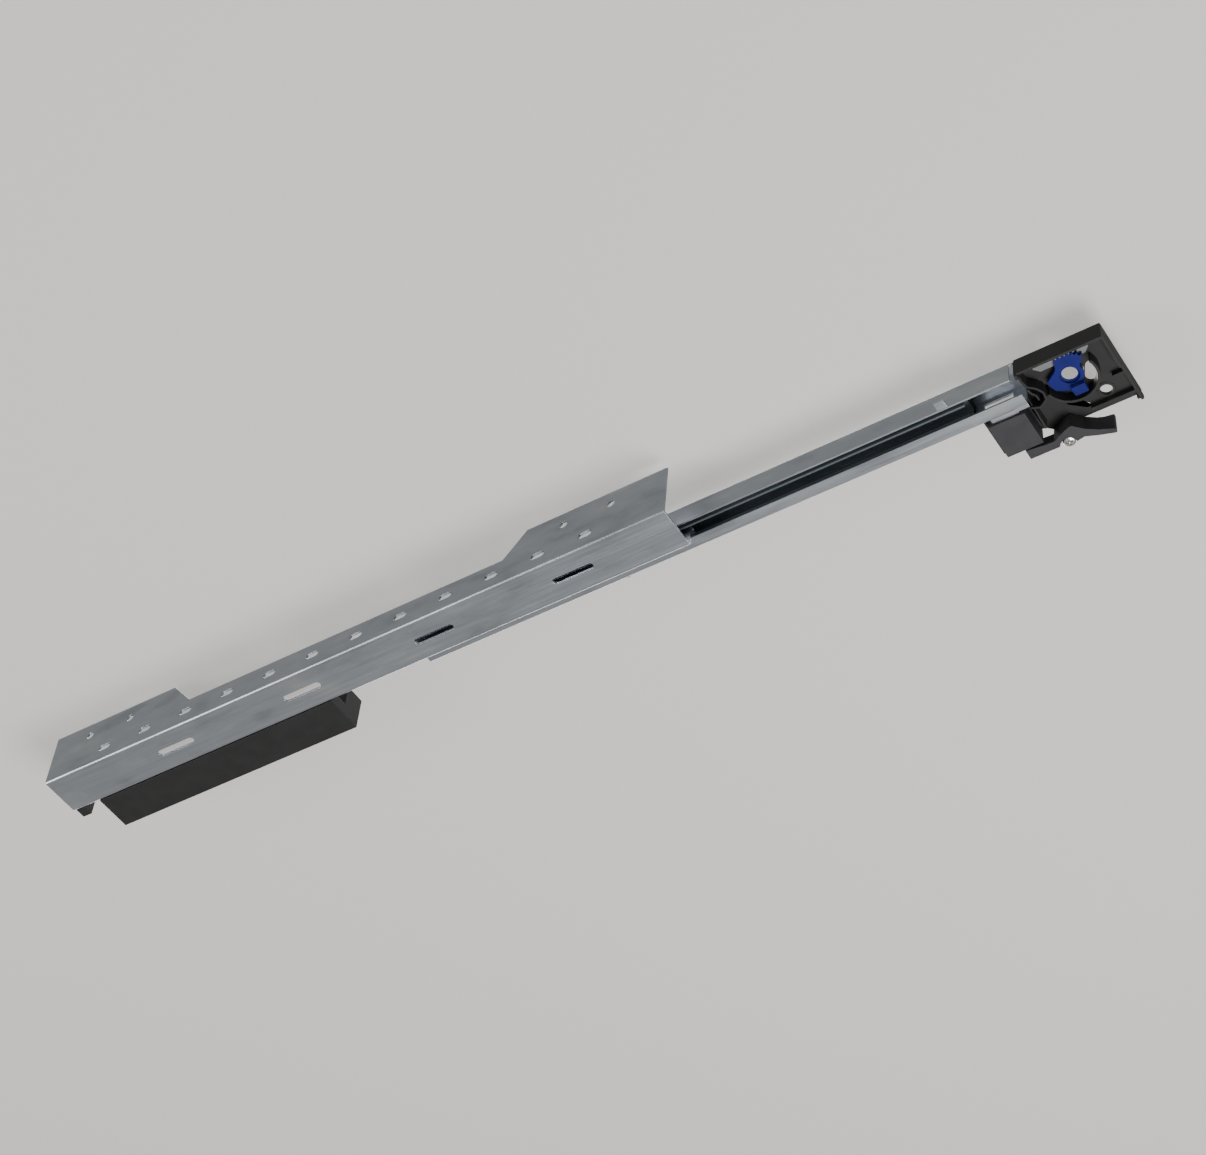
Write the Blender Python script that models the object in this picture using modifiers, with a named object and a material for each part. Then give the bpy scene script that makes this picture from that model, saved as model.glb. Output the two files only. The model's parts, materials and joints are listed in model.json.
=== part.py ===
"""Undermount drawer slide, left hand, with its locking device and soft-close unit.

Sizes are given in the slide's own frame: x = 0 at the cabinet member's front end with +X the way the
drawer is pulled, y = 0 on the cabinet wall with +Y towards the middle of the drawer, z = 0 under the
cabinet member. The whole slide hangs on one empty, which puts the world's origin on the wall face.
Metres.
"""

import math

import bmesh
import bpy
from mathutils import Matrix, Vector

MM = 0.001
FIT = 0.3 * MM  # running gap between pieces that touch
BITE = 0.4 * MM  # how far a rib or boss is sunk into what it is joined to

# ---- The slide as it is fitted ----
NOMINAL_LENGTH = 450 * MM
SIDE_FACE = 21 * MM  # cabinet wall to the inside face of the drawer side
DRAWER_BOTTOM = 28 * MM  # underside of the slide to the underside of the drawer bottom
INTERMEDIATE_PULL = 240 * MM  # how far each member is out, in the pose that is modelled
DRAWER_PULL = 14 * MM
DRAWER_SHORTER = 10 * MM  # a drawer is this much shorter than the slide's nominal length

# ---- Rolled steel sections ----
RAIL_SHEET = 1.2 * MM
CABINET_SHEET = 1.5 * MM
BEND_RADIUS = 1.1 * MM  # on the middle line of the sheet
ROLLER_SPACE = 4.6 * MM  # height left for the rollers between two members
SIDE_PAD = 1.4 * MM  # width left beside the intermediate member for the cage's skirt

DRAWER_MEMBER_OFFSET = 0.4 * MM  # drawer side to the drawer member
DRAWER_MEMBER_WIDTH = 17.9 * MM
DRAWER_MEMBER_HEIGHT = 18 * MM  # on the inboard side
DRAWER_OUTER_HEIGHT = 15 * MM
DRAWER_FLANGE = 8.1 * MM  # bottom flange, on the inboard side
FLANGE_EAR_LENGTH = 8 * MM  # the flange is a little wider at its front end
FLANGE_EAR_REACH = 1.3 * MM
OUTER_WALL_SETBACK = 2.4 * MM  # outer wall's front end behind the flange's
LOCK_LENGTH = 51 * MM  # locking device's front face to the drawer member's front end

INTERMEDIATE_SETBACK = 67.4 * MM  # front end behind the cabinet member's, when closed
INTERMEDIATE_SHORTER = 75.4 * MM
INTERMEDIATE_SKIRT = 10.2 * MM  # height of its section
INTERMEDIATE_LIP = 5.4 * MM

CABINET_FLANGE = 38 * MM
CABINET_WEB_GAP = 1.9 * MM  # intermediate member's outer wall to the riser
HEAD_WIDTH = 6.4 * MM
HEAD_LIP = 2.8 * MM

# ---- Holes in the steel ----
SYSTEM_PITCH = 32 * MM
SYSTEM_SETBACK = 37 * MM
SYSTEM_HOLE = 5.2 * MM
SCREW_LINE = 28 * MM  # height of the row of wall screws
SLOT_LINE = 10.5 * MM
SLOT_LENGTH = 9 * MM
PRONG_BACK = 42 * MM  # behind the drawer member's front end
PRONG_LENGTH = 6 * MM
PRONG_REACH = 4.8 * MM
SLOT_WIDTH = 4.6 * MM
EAR_LENGTH = 92 * MM  # tall ends of the wall flange
EAR_DROP = 18 * MM  # how much lower the flange is between the ears

# ---- Roller carriages ----
LOWER_CAGE_LENGTH = 150 * MM
LOWER_CAGE_START = 300 * MM  # its rear end behind the cabinet member's front, closed
UPPER_CAGE_LENGTH = 130 * MM
UPPER_CAGE_START = 320 * MM
CAGE_THICKNESS = 3 * MM
SKIRT_DEPTH = 6 * MM
ROLLERS_PER_CAGE = 4
ROLLER_END_MARGIN = 12 * MM
ROLLER_EDGE = 0.4 * MM  # chamfer
ROLLER_PIN = 0.8 * MM  # radius of a roller's pins
PIN_LENGTH = 1.1 * MM
LOWER_ROLLER_LENGTH = 6 * MM
UPPER_ROLLER_LENGTH = 9 * MM
HINGE_FIT = 0.1 * MM

# ---- Locking device ----
PLATE = 2.2 * MM
PLATE_CORNER = 0.9 * MM
WALL = 1.6 * MM
LOCK_WIDTH = 51.7 * MM
WALL_DEPTH = 12.2 * MM  # outer wall, below the drawer bottom
POST_DEPTH = 13.8 * MM
RIB_DEPTH = 9.5 * MM
LOW_RIB_DEPTH = 6 * MM
DIAL_BACK = 27 * MM  # dial's centre, behind the front face and inboard of the drawer side
DIAL_INBOARD = 19.6 * MM
DIAL_BORE = 4.3 * MM
DIAL_RECESS = 5.5 * MM
DIAL_WEB = 0.8 * MM  # left between the recess and the snap ring
SNAP_RING = 7.4 * MM  # outer radius
SNAP_WALL = 1.1 * MM
DIAL_LOW = 6.2 * MM  # dial's underside below the drawer bottom
DIAL_THICKNESS = 2.4 * MM
DIAL_TIP = 15 * MM
FIRST_TOOTH = -1  # numbered forward from the tooth that points at the drawer side
LAST_TOOTH = 5
DIAL_LOBE = 12.4 * MM
DIAL_WAIST = 7.6 * MM
TAB_NEAR = 6.1 * MM
TAB_REACH = 12 * MM
TAB_WIDTH = 8 * MM
TAB_FORWARD = 1.4 * MM
TAB_DROP = 3 * MM
TAB_CORNER = 0.8 * MM
GEAR_TEETH = 36  # on a full circle
TOOTH_HEIGHT = 1.3 * MM
TOOTH_BASE = 1.25 * MM
TOOTH_TOP = 0.5 * MM
MESH_DEPTH = 0.7 * MM
RACK_CORNER = 3 * MM  # cut off the plate's inboard corners
RACK_LENGTH = 32 * MM
RACK_PLATE = 11.8 * MM  # plate's inboard edge
RACK_LIP_LOW = 8.4 * MM  # lip's underside below the drawer bottom
# Plans of the two hooked ribs, behind the front face and inboard of the drawer side, in mm
LONG_HOOK = [(49.9, 1.5), (49.8, 8), (49, 12.4), (45, 16), (42.9, 20), (43.6, 25), (48.5, 28.2), (53.3, 26.2)]
SHORT_HOOK = [(49.9, 15), (49.2, 18.2), (47.4, 20.6), (47.4, 24.4)]
ARC_RIB_RADIUS = 14.5 * MM
ARC_RIB_START = -22
ARC_RIB_END = 165
HOOK_BEND = 2.5 * MM
HOOK_EXTRA = 1.2 * MM  # how much deeper the long hook is than the other ribs
LUG_REACH = 2.2 * MM  # the stepped lug at the front corner, inboard of the plate
LUG_STEP = 1.2 * MM
LUG_RISE = 1 * MM  # its underside above the low ribs'
SHELF_BACK = 8 * MM  # the short rib behind the front wall
SHELF_INBOARD = 31 * MM
OVAL_BACK = 16.9 * MM
OVAL_INBOARD = 25.3 * MM
OVAL_LENGTH = 14.2 * MM
OVAL_WIDTH = 6.8 * MM
OVAL_TILT = 116
ROUND_BACK = 15.5 * MM
ROUND_INBOARD = 40.4 * MM
ROUND_RADIUS = 3.5 * MM
ROUND_BOSS = 0.5 * MM  # how far the ring round it stands below the plate
SLIT_BACK = 32.4 * MM
SLIT_INBOARD = 41.8 * MM
SLIT_LENGTH = 13 * MM
SLIT_WIDTH = 3.2 * MM
SLIT_TILT = 39

LATCH_BACK = 56.8 * MM
LATCH_LENGTH = 21.5 * MM
LATCH_INBOARD = 24.9 * MM
LATCH_WIDTH = 23.2 * MM
LATCH_LOW = 13.9 * MM
LATCH_HIGH = 3.2 * MM
LATCH_WALL = 1.5 * MM
BOLT_LENGTH = 16 * MM
BOLT_HEIGHT = 4 * MM
BOLT_WINDOW = 9.2 * MM  # height of the window in the drawer member
BOLT_REACH = 8.6 * MM
BOLT_CHAMFER = 1.6 * MM
SPRING_WIRE = 0.3 * MM
SPRING_RADIUS = 1.7 * MM
SPRING_TURNS = 7
SPRING_SHARE = 0.66  # of the latch block's width, where the spring's fixed end is
BAY_INBOARD = 22.8 * MM  # outboard edge of the plate over the latch block, where the wood shows

LEVER_PIVOT_BACK = 45.4 * MM
LEVER_PIVOT_INBOARD = 55.7 * MM
LEVER_LOW = 13.5 * MM
LEVER_HIGH = 2.6 * MM
LEVER_BOSS = 3.4 * MM
LEVER_CORNER = 1.2 * MM
TONGUE_FRONT = 12 * MM  # where the plate's tongue over the pivot starts, in front of the pivot
TONGUE_REAR = 6 * MM  # and where it ends, behind it
WING_BACK = 24.6 * MM  # rear edge of the front wing's taller part
WING_RISE = 2 * MM  # how much taller it is
ARM_RELIEF_BACK = 51.6 * MM  # front edge of the hollow on top of the rear arm
ARM_RELIEF_LENGTH = 8.4 * MM
ARM_RELIEF_DEPTH = 4 * MM
# Plan of the lever, behind the front face and inboard of the drawer side, in mm
LEVER_OUTER = [
    (68.2, 48.9), (57, 50.3), (51.8, 50.5), (47, 47.9), (41.4, 45.5), (39.2, 45.2),
    (36.9, 47.8), (34.2, 50.4), (27.9, 54.6), (19.5, 58.3), (19.4, 61.6), (29.2, 58.4), (36.3, 55.5),
    (41, 56.4),
]
LEVER_ARM = [(49.3, 53.2), (50.8, 55.5), (68.2, 55.5)]
SCREW_HEAD = 3.7 * MM
SCREW_SHANK = 1.7 * MM
SCREW_HEAD_HEIGHT = 2.6 * MM
SCREW_CLEARANCE = 0.5 * MM  # round its head, in the lever's recess
CROSS_BLADE = 0.45 * MM  # half the width of the slots in its head
CROSS_DEPTH = 1 * MM
SCREW_SINK = 0.9 * MM  # head's underside above the lever's underside
FINGER_BACK = 65 * MM  # finger of the lever, hooked in the latch block
FINGER_WIDTH = 3 * MM
FINGER_HEIGHT = 4 * MM
FINGER_HEAD = 3.2 * MM
FINGER_PLAY = 1.6 * MM  # on each side of it, for the lever's swing
FINGER_SLACK = 1.2 * MM  # between its head and the block's wall

# ---- Rear hook, stops, soft-close unit ----
HOOK_WIDTH = 15 * MM
HOOK_RISE = 17 * MM  # above the drawer bottom
HOOK_PIN_RADIUS = 2.75 * MM
HOOK_PIN_LENGTH = 8 * MM
HOOK_PIN_HEIGHT = 11 * MM
HOOK_PIN_INBOARD = 7 * MM
BUFFER_LENGTH = 7 * MM
STOP_LENGTH = 6 * MM

DAMPER_END_GAP = 20 * MM  # from the cabinet member's rear end
DAMPER_GAP = 1 * MM  # from the drawer member
DAMPER_LENGTH = 180 * MM
DAMPER_WIDTH = 14 * MM
DAMPER_HEIGHT = 23 * MM
DAMPER_WALL = 1.8 * MM
CATCH_TRAVEL = 45 * MM
CATCH_LENGTH = 18 * MM
CATCH_FRONT_GAP = 2 * MM
CATCH_SIDE_GAP = 1.2 * MM
ROD_SEAT = 6 * MM  # depth of the rod's seat in the catch
SPRING_GAP = 1 * MM  # from the cylinder to the closing spring
CYLINDER_LENGTH = 72 * MM
CYLINDER_RADIUS = 4 * MM
ROD_RADIUS = 1.2 * MM
CLOSING_SPRING_RADIUS = 2.6 * MM
CLOSING_SPRING_TURNS = 22
RIVET_RADIUS = 1.5 * MM
RIVET_HEAD = 2.8 * MM
RIVET_SPACING = 120 * MM
RIVET_DROP = 0.5 * MM  # below the middle of the free face
RIVET_DOME = 1 * MM
FORK_WIDTH = 3 * MM
FORK_RISE = 1.4 * MM
FORK_THICKNESS = 2.4 * MM
FORK_GAP = 5 * MM
PEG_RADIUS = 1.8 * MM
PEG_BRACKET_LENGTH = 16 * MM
PEG_BRACKET_DROP = 0.8 * MM  # its top below the drawer bottom
PEG_MARGIN = 2 * MM  # of the bracket past the peg's middle

# ---- Places worked out from the sizes above ----
LOCK_FRONT = INTERMEDIATE_PULL + DRAWER_PULL
DRAWER_FRONT = LOCK_FRONT - LOCK_LENGTH
DRAWER_REAR = LOCK_FRONT - (NOMINAL_LENGTH - DRAWER_SHORTER)
DRAWER_OUTER = SIDE_FACE + DRAWER_MEMBER_OFFSET
DRAWER_INNER = DRAWER_OUTER + DRAWER_MEMBER_WIDTH
DRAWER_LOW = DRAWER_BOTTOM - DRAWER_MEMBER_HEIGHT
DRAWER_WEB = DRAWER_BOTTOM - RAIL_SHEET
INTERMEDIATE_LENGTH = NOMINAL_LENGTH - INTERMEDIATE_SHORTER
INTERMEDIATE_FRONT = INTERMEDIATE_PULL - INTERMEDIATE_SETBACK
INTERMEDIATE_REAR = INTERMEDIATE_FRONT - INTERMEDIATE_LENGTH
INTERMEDIATE_OUTER = DRAWER_OUTER + RAIL_SHEET + SIDE_PAD
INTERMEDIATE_INNER = DRAWER_INNER - RAIL_SHEET - SIDE_PAD
INTERMEDIATE_TOP = DRAWER_WEB - ROLLER_SPACE
INTERMEDIATE_WEB = INTERMEDIATE_TOP - RAIL_SHEET
INTERMEDIATE_LOW = INTERMEDIATE_TOP - INTERMEDIATE_SKIRT
HEAD_TOP = INTERMEDIATE_WEB - ROLLER_SPACE
RISER_OUTER = INTERMEDIATE_OUTER + RAIL_SHEET + CABINET_WEB_GAP
RISER_INNER = RISER_OUTER + CABINET_SHEET
ROLLER_RADIUS = ROLLER_SPACE / 2 - FIT
PLATE_LOW = DRAWER_BOTTOM - PLATE
DAMPER_REAR = NOMINAL_LENGTH - DAMPER_END_GAP
WALL_POINT = (-EAR_LENGTH / 2, 0.0, (SLOT_LINE + SCREW_LINE) / 2)  # plain flange between its holes


# ---- Scene, materials and small tools ----
def clear_scene():
    for thing in list(bpy.data.objects):
        bpy.data.objects.remove(thing, do_unlink=True)


def make_collection(name):
    collection = bpy.data.collections.new(name)
    bpy.context.scene.collection.children.link(collection)
    return collection


def make_material(name, colour, roughness, metallic):
    material = bpy.data.materials.new(name)
    material.use_nodes = True
    shader = material.node_tree.nodes["Principled BSDF"]
    shader.inputs["Base Color"].default_value = (*colour, 1.0)
    shader.inputs["Roughness"].default_value = roughness
    shader.inputs["Metallic"].default_value = metallic
    material.diffuse_color = (*colour, 1.0)
    return material


clear_scene()
PARTS = make_collection("drawer_slide")
TOOLS = make_collection("cutters")
SLIDE = bpy.data.objects.new("slide_frame", None)
SLIDE.location = -Vector(WALL_POINT)
PARTS.objects.link(SLIDE)

# colour, roughness, metallic
FINISHES = {
    "zinc_steel": ((0.52, 0.55, 0.58), 0.34, 1.0),
    "dark_steel": ((0.05, 0.06, 0.08), 0.4, 0.8),
    "bright_steel": ((0.8, 0.79, 0.76), 0.18, 1.0),
    "charcoal_plastic": ((0.022, 0.022, 0.025), 0.5, 0.0),
    "grey_black_plastic": ((0.05, 0.05, 0.056), 0.55, 0.0),
    "blue_plastic": ((0.012, 0.016, 0.24), 0.38, 0.0),
    "light_grey_plastic": ((0.28, 0.29, 0.3), 0.5, 0.0),
    "white_plastic": ((0.7, 0.7, 0.67), 0.4, 0.0),
    "spring_steel": ((0.4, 0.41, 0.43), 0.3, 1.0),
}


def add_part(name, mesh, finish, origin=(0, 0, 0)):
    """A named piece. Its mesh is in the slide's frame, and its origin is put at the given point."""
    mesh.name = name
    mesh.transform(Matrix.Translation(-Vector(origin)))
    piece = bpy.data.objects.new(name, mesh)
    piece.parent = SLIDE
    piece.location = origin
    colour, roughness, metallic = FINISHES[finish]
    mesh.materials.clear()
    mesh.materials.append(make_material(name, colour, roughness, metallic))
    PARTS.objects.link(piece)
    return piece


def add_tool(name, mesh):
    tool = bpy.data.objects.new(name, mesh)
    tool.parent = SLIDE
    tool.hide_render = True
    tool.display_type = "WIRE"
    TOOLS.objects.link(tool)
    return tool


def boolean(piece, operation, meshes, solver="EXACT"):
    """Joins the meshes to the piece, or cuts them from it, one modifier each."""
    for number, mesh in enumerate(meshes):
        tool = add_tool(f"{piece.name}_{operation.lower()}_{number}", mesh)
        modifier = piece.modifiers.new(f"{operation.lower()} {number}", "BOOLEAN")
        modifier.operation = operation
        modifier.object = tool
        modifier.solver = solver


def smooth_round(mesh):
    mesh.shade_smooth()
    mesh.set_sharp_from_angle(angle=math.radians(35))


def mesh_of(curve_object):
    """The mesh of a curve, with its caps welded; the curve is removed."""
    bpy.context.view_layer.update()
    graph = bpy.context.evaluated_depsgraph_get()
    mesh = bpy.data.meshes.new_from_object(curve_object.evaluated_get(graph))
    mesh.transform(curve_object.matrix_world)
    bpy.data.objects.remove(curve_object, do_unlink=True)
    work = bmesh.new()
    work.from_mesh(mesh)
    bmesh.ops.remove_doubles(work, verts=work.verts, dist=0.005 * MM)
    bmesh.ops.recalc_face_normals(work, faces=work.faces)
    work.to_mesh(mesh)
    work.free()
    return mesh


# The plane of a flat outline: which way its two coordinates and its thickness run.
PLANES = {
    "Z": Matrix(((1, 0, 0), (0, 1, 0), (0, 0, 1))),
    "X": Matrix(((0, 0, 1), (1, 0, 0), (0, 1, 0))),
    "Y": Matrix(((1, 0, 0), (0, 0, -1), (0, 1, 0))),
}
# Turns a thing made along Z to run along another axis.
TURNS = {
    "Z": Matrix(),
    "X": Matrix.Rotation(math.pi / 2, 4, "Y"),
    "Y": Matrix.Rotation(-math.pi / 2, 4, "X"),
}


def prism(outlines, low, high, along="Z"):
    """A flat outline, with any further outlines as holes, made thick from low to high."""
    curve = bpy.data.curves.new("outline", "CURVE")
    curve.dimensions = "2D"
    curve.fill_mode = "BOTH"
    curve.extrude = (high - low) / 2
    for outline in outlines:
        spline = curve.splines.new("POLY")
        spline.points.add(len(outline) - 1)
        for point, (u, v) in zip(spline.points, outline):
            point.co = (u, v, 0, 1)
        spline.use_cyclic_u = True
    flat = bpy.data.objects.new("outline", curve)
    bpy.context.scene.collection.objects.link(flat)
    turn = PLANES[along].to_4x4()
    middle = Vector((0, 0, 0))
    middle["XYZ".index(along)] = (low + high) / 2
    flat.matrix_world = Matrix.Translation(middle) @ turn
    return mesh_of(flat)


def box(low, high):
    work = bmesh.new()
    bmesh.ops.create_cube(work, size=1)
    size = Vector(high) - Vector(low)
    bmesh.ops.scale(work, vec=size, verts=work.verts)
    bmesh.ops.translate(work, vec=(Vector(high) + Vector(low)) / 2, verts=work.verts)
    mesh = bpy.data.meshes.new("box")
    work.to_mesh(mesh)
    work.free()
    return mesh


def round_bar(centre, radius, low, high, along="Z", sides=24):
    """A cylinder along one axis; centre gives its place on the other two, in X, Y, Z order."""
    work = bmesh.new()
    bmesh.ops.create_cone(
        work, cap_ends=True, segments=sides, radius1=radius, radius2=radius, depth=high - low
    )
    place = list(centre)
    place.insert("XYZ".index(along), (low + high) / 2)
    bmesh.ops.transform(work, matrix=Matrix.Translation(place) @ TURNS[along], verts=work.verts)
    mesh = bpy.data.meshes.new("round_bar")
    work.to_mesh(mesh)
    work.free()
    return mesh


def turned(name, profile, origin, along, finish, steps=24):
    """A lathe-turned piece: the profile of (radius, height) runs down its outer side."""
    work = bmesh.new()
    corners = [work.verts.new((radius, 0, height)) for radius, height in profile]
    for first, second in zip(corners, corners[1:]):
        work.edges.new((first, second))
    mesh = bpy.data.meshes.new(name)
    work.to_mesh(mesh)
    work.free()
    piece = add_part(name, mesh, finish)
    screw = piece.modifiers.new("turn", "SCREW")
    screw.axis = "Z"
    screw.steps = steps
    screw.render_steps = steps
    screw.use_merge_vertices = True
    screw.merge_threshold = 0.00001
    piece.matrix_basis = Matrix.Translation(origin) @ TURNS[along]
    return piece


def arc(centre, radius, start, end, steps):
    """Points on an arc, from one angle to another, in degrees."""
    points = []
    for step in range(steps + 1):
        angle = math.radians(start + (end - start) * step / steps)
        points.append((centre[0] + radius * math.cos(angle), centre[1] + radius * math.sin(angle)))
    return points


def circle(centre, radius, sides=20):
    return arc(centre, radius, 0, 360, sides)[:-1]


def rectangle(low, high):
    return [low, (high[0], low[1]), high, (low[0], high[1])]


def slot(centre, length, width, angle=0.0, steps=6):
    """A slot with round ends."""
    half = (length - width) / 2
    points = arc((half, 0), width / 2, -90, 90, steps) + arc((-half, 0), width / 2, 90, 270, steps)
    c = math.cos(math.radians(angle))
    s = math.sin(math.radians(angle))
    return [(centre[0] + u * c - v * s, centre[1] + u * s + v * c) for u, v in points]


def rounded(points, radius, steps=3, closed=True):
    """The outline with its corners rounded by arcs."""
    result = []
    count = len(points)
    for index, point in enumerate(points):
        if not closed and index in (0, count - 1):
            result.append(tuple(point))
            continue
        here = Vector(point)
        before = (Vector(points[index - 1]) - here)
        after = (Vector(points[(index + 1) % count]) - here)
        angle = before.angle(after)
        back = min(radius / math.tan(angle / 2), before.length * 0.45, after.length * 0.45)
        start = here + before.normalized() * back
        end = here + after.normalized() * back
        for step in range(steps + 1):
            t = step / steps
            blend = start * (1 - t) ** 2 + here * 2 * t * (1 - t) + end * t ** 2
            result.append((blend.x, blend.y))
    return result


def ribbon(points, width):
    """The outline of a thin wall that follows a path."""
    path = [Vector(point) for point in points]
    left = []
    right = []
    for index, here in enumerate(path):
        before = path[max(index - 1, 0)]
        after = path[min(index + 1, len(path) - 1)]
        along = (after - before).normalized()
        side = Vector((-along.y, along.x)) * width / 2
        left.append(tuple(here + side))
        right.append(tuple(here - side))
    return left + right[::-1]


def ring_sector(centre, inner, outer, start, end, steps):
    return arc(centre, outer, start, end, steps) + arc(centre, inner, end, start, steps)


def rolled_section(name, corners, front, rear, sheet, finish):
    """A cold-rolled profile: the (y, z) middle line of the sheet, drawn along X and given its thickness."""
    work = bmesh.new()
    path = rounded(corners, BEND_RADIUS, steps=3, closed=False)
    line = [work.verts.new((rear, y, z)) for y, z in path]
    edges = [work.edges.new(pair) for pair in zip(line, line[1:])]
    drawn = bmesh.ops.extrude_edge_only(work, edges=edges)
    ends = [part for part in drawn["geom"] if isinstance(part, bmesh.types.BMVert)]
    bmesh.ops.translate(work, vec=(front - rear, 0, 0), verts=ends)
    mesh = bpy.data.meshes.new(name)
    work.to_mesh(mesh)
    work.free()
    piece = add_part(name, mesh, finish)
    thick = piece.modifiers.new("sheet", "SOLIDIFY")
    thick.thickness = sheet
    thick.offset = 0
    thick.use_even_offset = True
    return piece


def coil(name, start, direction, length, radius, wire, turns, finish, per_turn=12):
    """A close-ended coil spring of round wire, made as a curve."""
    axis = Vector(direction).normalized()
    side = axis.orthogonal().normalized()
    up = axis.cross(side)
    curve = bpy.data.curves.new(name, "CURVE")
    curve.dimensions = "3D"
    curve.bevel_depth = wire
    curve.bevel_resolution = 2
    curve.use_fill_caps = True
    spline = curve.splines.new("POLY")
    count = turns * per_turn
    spline.points.add(count)
    for index, point in enumerate(spline.points):
        angle = 2 * math.pi * index / per_turn
        along = wire + (length - 2 * wire) * index / count
        place = Vector(start) + axis * along + (side * math.cos(angle) + up * math.sin(angle)) * radius
        point.co = (*place, 1)
    line = bpy.data.objects.new("coil", curve)
    bpy.context.scene.collection.objects.link(line)
    mesh = mesh_of(line)
    smooth_round(mesh)
    return add_part(name, mesh, finish)


def lock_place(back, inboard):
    """A plan point of the locking device: behind its front face, and inboard of the drawer side."""
    return (LOCK_FRONT - back, SIDE_FACE + inboard)


# ---- Cabinet member ----
def cabinet_member():
    half = CABINET_SHEET / 2
    head_end = RISER_OUTER + HEAD_WIDTH - half
    piece = rolled_section(
        "cabinet_member",
        [
            (half, CABINET_FLANGE),
            (half, half),
            (RISER_OUTER + half, half),
            (RISER_OUTER + half, HEAD_TOP - half),
            (head_end, HEAD_TOP - half),
            (head_end, HEAD_TOP - HEAD_LIP),
        ],
        0.0,
        -NOMINAL_LENGTH,
        CABINET_SHEET,
        "zinc_steel",
    )
    wall_depth = CABINET_SHEET * 2
    cuts = []
    relief = [
        (-EAR_LENGTH, CABINET_FLANGE + wall_depth),
        (-EAR_LENGTH - EAR_DROP, CABINET_FLANGE - EAR_DROP),
        (EAR_LENGTH + EAR_DROP - NOMINAL_LENGTH, CABINET_FLANGE - EAR_DROP),
        (EAR_LENGTH - NOMINAL_LENGTH, CABINET_FLANGE + wall_depth),
    ]
    cuts.append(prism([relief], -wall_depth, wall_depth, "Y"))
    holes = []
    positions = int((NOMINAL_LENGTH - SYSTEM_SETBACK) / SYSTEM_PITCH) + 1
    for number in range(positions):
        x = -SYSTEM_SETBACK - SYSTEM_PITCH * number
        in_ear = -x < EAR_LENGTH - SYSTEM_HOLE or -x > NOMINAL_LENGTH - EAR_LENGTH + SYSTEM_HOLE
        if in_ear:
            holes.append(circle((x, SCREW_LINE), SYSTEM_HOLE / 2, 16))
        if -x + SYSTEM_PITCH < NOMINAL_LENGTH:
            holes.append(slot((x - SYSTEM_PITCH / 2, SLOT_LINE), SLOT_LENGTH, SLOT_WIDTH))
    cuts.append(prism(holes, -wall_depth, wall_depth, "Y"))
    floor_middle = (CABINET_SHEET + RISER_OUTER) / 2
    floor_slots = []
    for number in range(1, positions, 3):
        x = -SYSTEM_SETBACK - SYSTEM_PITCH * number
        floor_slots.append(slot((x, floor_middle), 3 * SLOT_LENGTH, SLOT_WIDTH))
    cuts.append(prism(floor_slots, -wall_depth, wall_depth))
    for x in rivet_places():
        cuts.append(round_bar((x, rivet_height()), RIVET_RADIUS + HINGE_FIT, RISER_OUTER - wall_depth,
                              RISER_INNER + wall_depth, "Y", 16))
    # EXACT leaves open edges in the long row of holes, and MANIFOLD doesn't.
    boolean(piece, "DIFFERENCE", cuts, "MANIFOLD")
    return piece


def rear_buffer():
    """Plastic end stop that hooks under the head and meets the intermediate member when it is closed."""
    rear = -NOMINAL_LENGTH
    head_end = RISER_OUTER + HEAD_WIDTH
    low = CABINET_SHEET + FIT
    lip_low = HEAD_TOP - HEAD_LIP - FIT
    outline = [
        (RISER_INNER + FIT, low),
        (INTERMEDIATE_INNER, low),
        (INTERMEDIATE_INNER, INTERMEDIATE_WEB),
        (head_end + FIT, INTERMEDIATE_WEB),
        (head_end + FIT, lip_low),
        (RISER_INNER + FIT, lip_low),
    ]
    return add_part("rear_buffer", prism([outline], rear, rear + BUFFER_LENGTH, "X"), "charcoal_plastic")


# ---- Intermediate member ----
def intermediate_member():
    half = RAIL_SHEET / 2
    low = INTERMEDIATE_LOW
    piece = rolled_section(
        "intermediate_member",
        [
            (INTERMEDIATE_OUTER + half, low),
            (INTERMEDIATE_OUTER + half, INTERMEDIATE_TOP - half),
            (INTERMEDIATE_INNER - half, INTERMEDIATE_TOP - half),
            (INTERMEDIATE_INNER - half, low + half),
            (INTERMEDIATE_INNER - INTERMEDIATE_LIP, low + half),
        ],
        INTERMEDIATE_FRONT,
        INTERMEDIATE_REAR,
        RAIL_SHEET,
        "dark_steel",
    )
    middle = (INTERMEDIATE_OUTER + INTERMEDIATE_INNER) / 2
    depth = RAIL_SHEET * 2
    cuts = []
    for back in (STOP_LENGTH * 4, INTERMEDIATE_LENGTH - STOP_LENGTH * 4):
        hole = circle((INTERMEDIATE_FRONT - back, middle), RIVET_RADIUS, 16)
        cuts.append(prism([hole], INTERMEDIATE_WEB - depth, INTERMEDIATE_TOP + depth))
    boolean(piece, "DIFFERENCE", cuts)
    return piece


def intermediate_stop():
    """Black stop on the intermediate member's front end, which ends the drawer member's travel."""
    low = INTERMEDIATE_TOP + FIT
    mesh = box(
        (INTERMEDIATE_FRONT - STOP_LENGTH, INTERMEDIATE_OUTER, low),
        (INTERMEDIATE_FRONT, INTERMEDIATE_INNER, DRAWER_WEB - FIT),
    )
    piece = add_part("intermediate_stop", mesh, "charcoal_plastic")
    return piece


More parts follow.
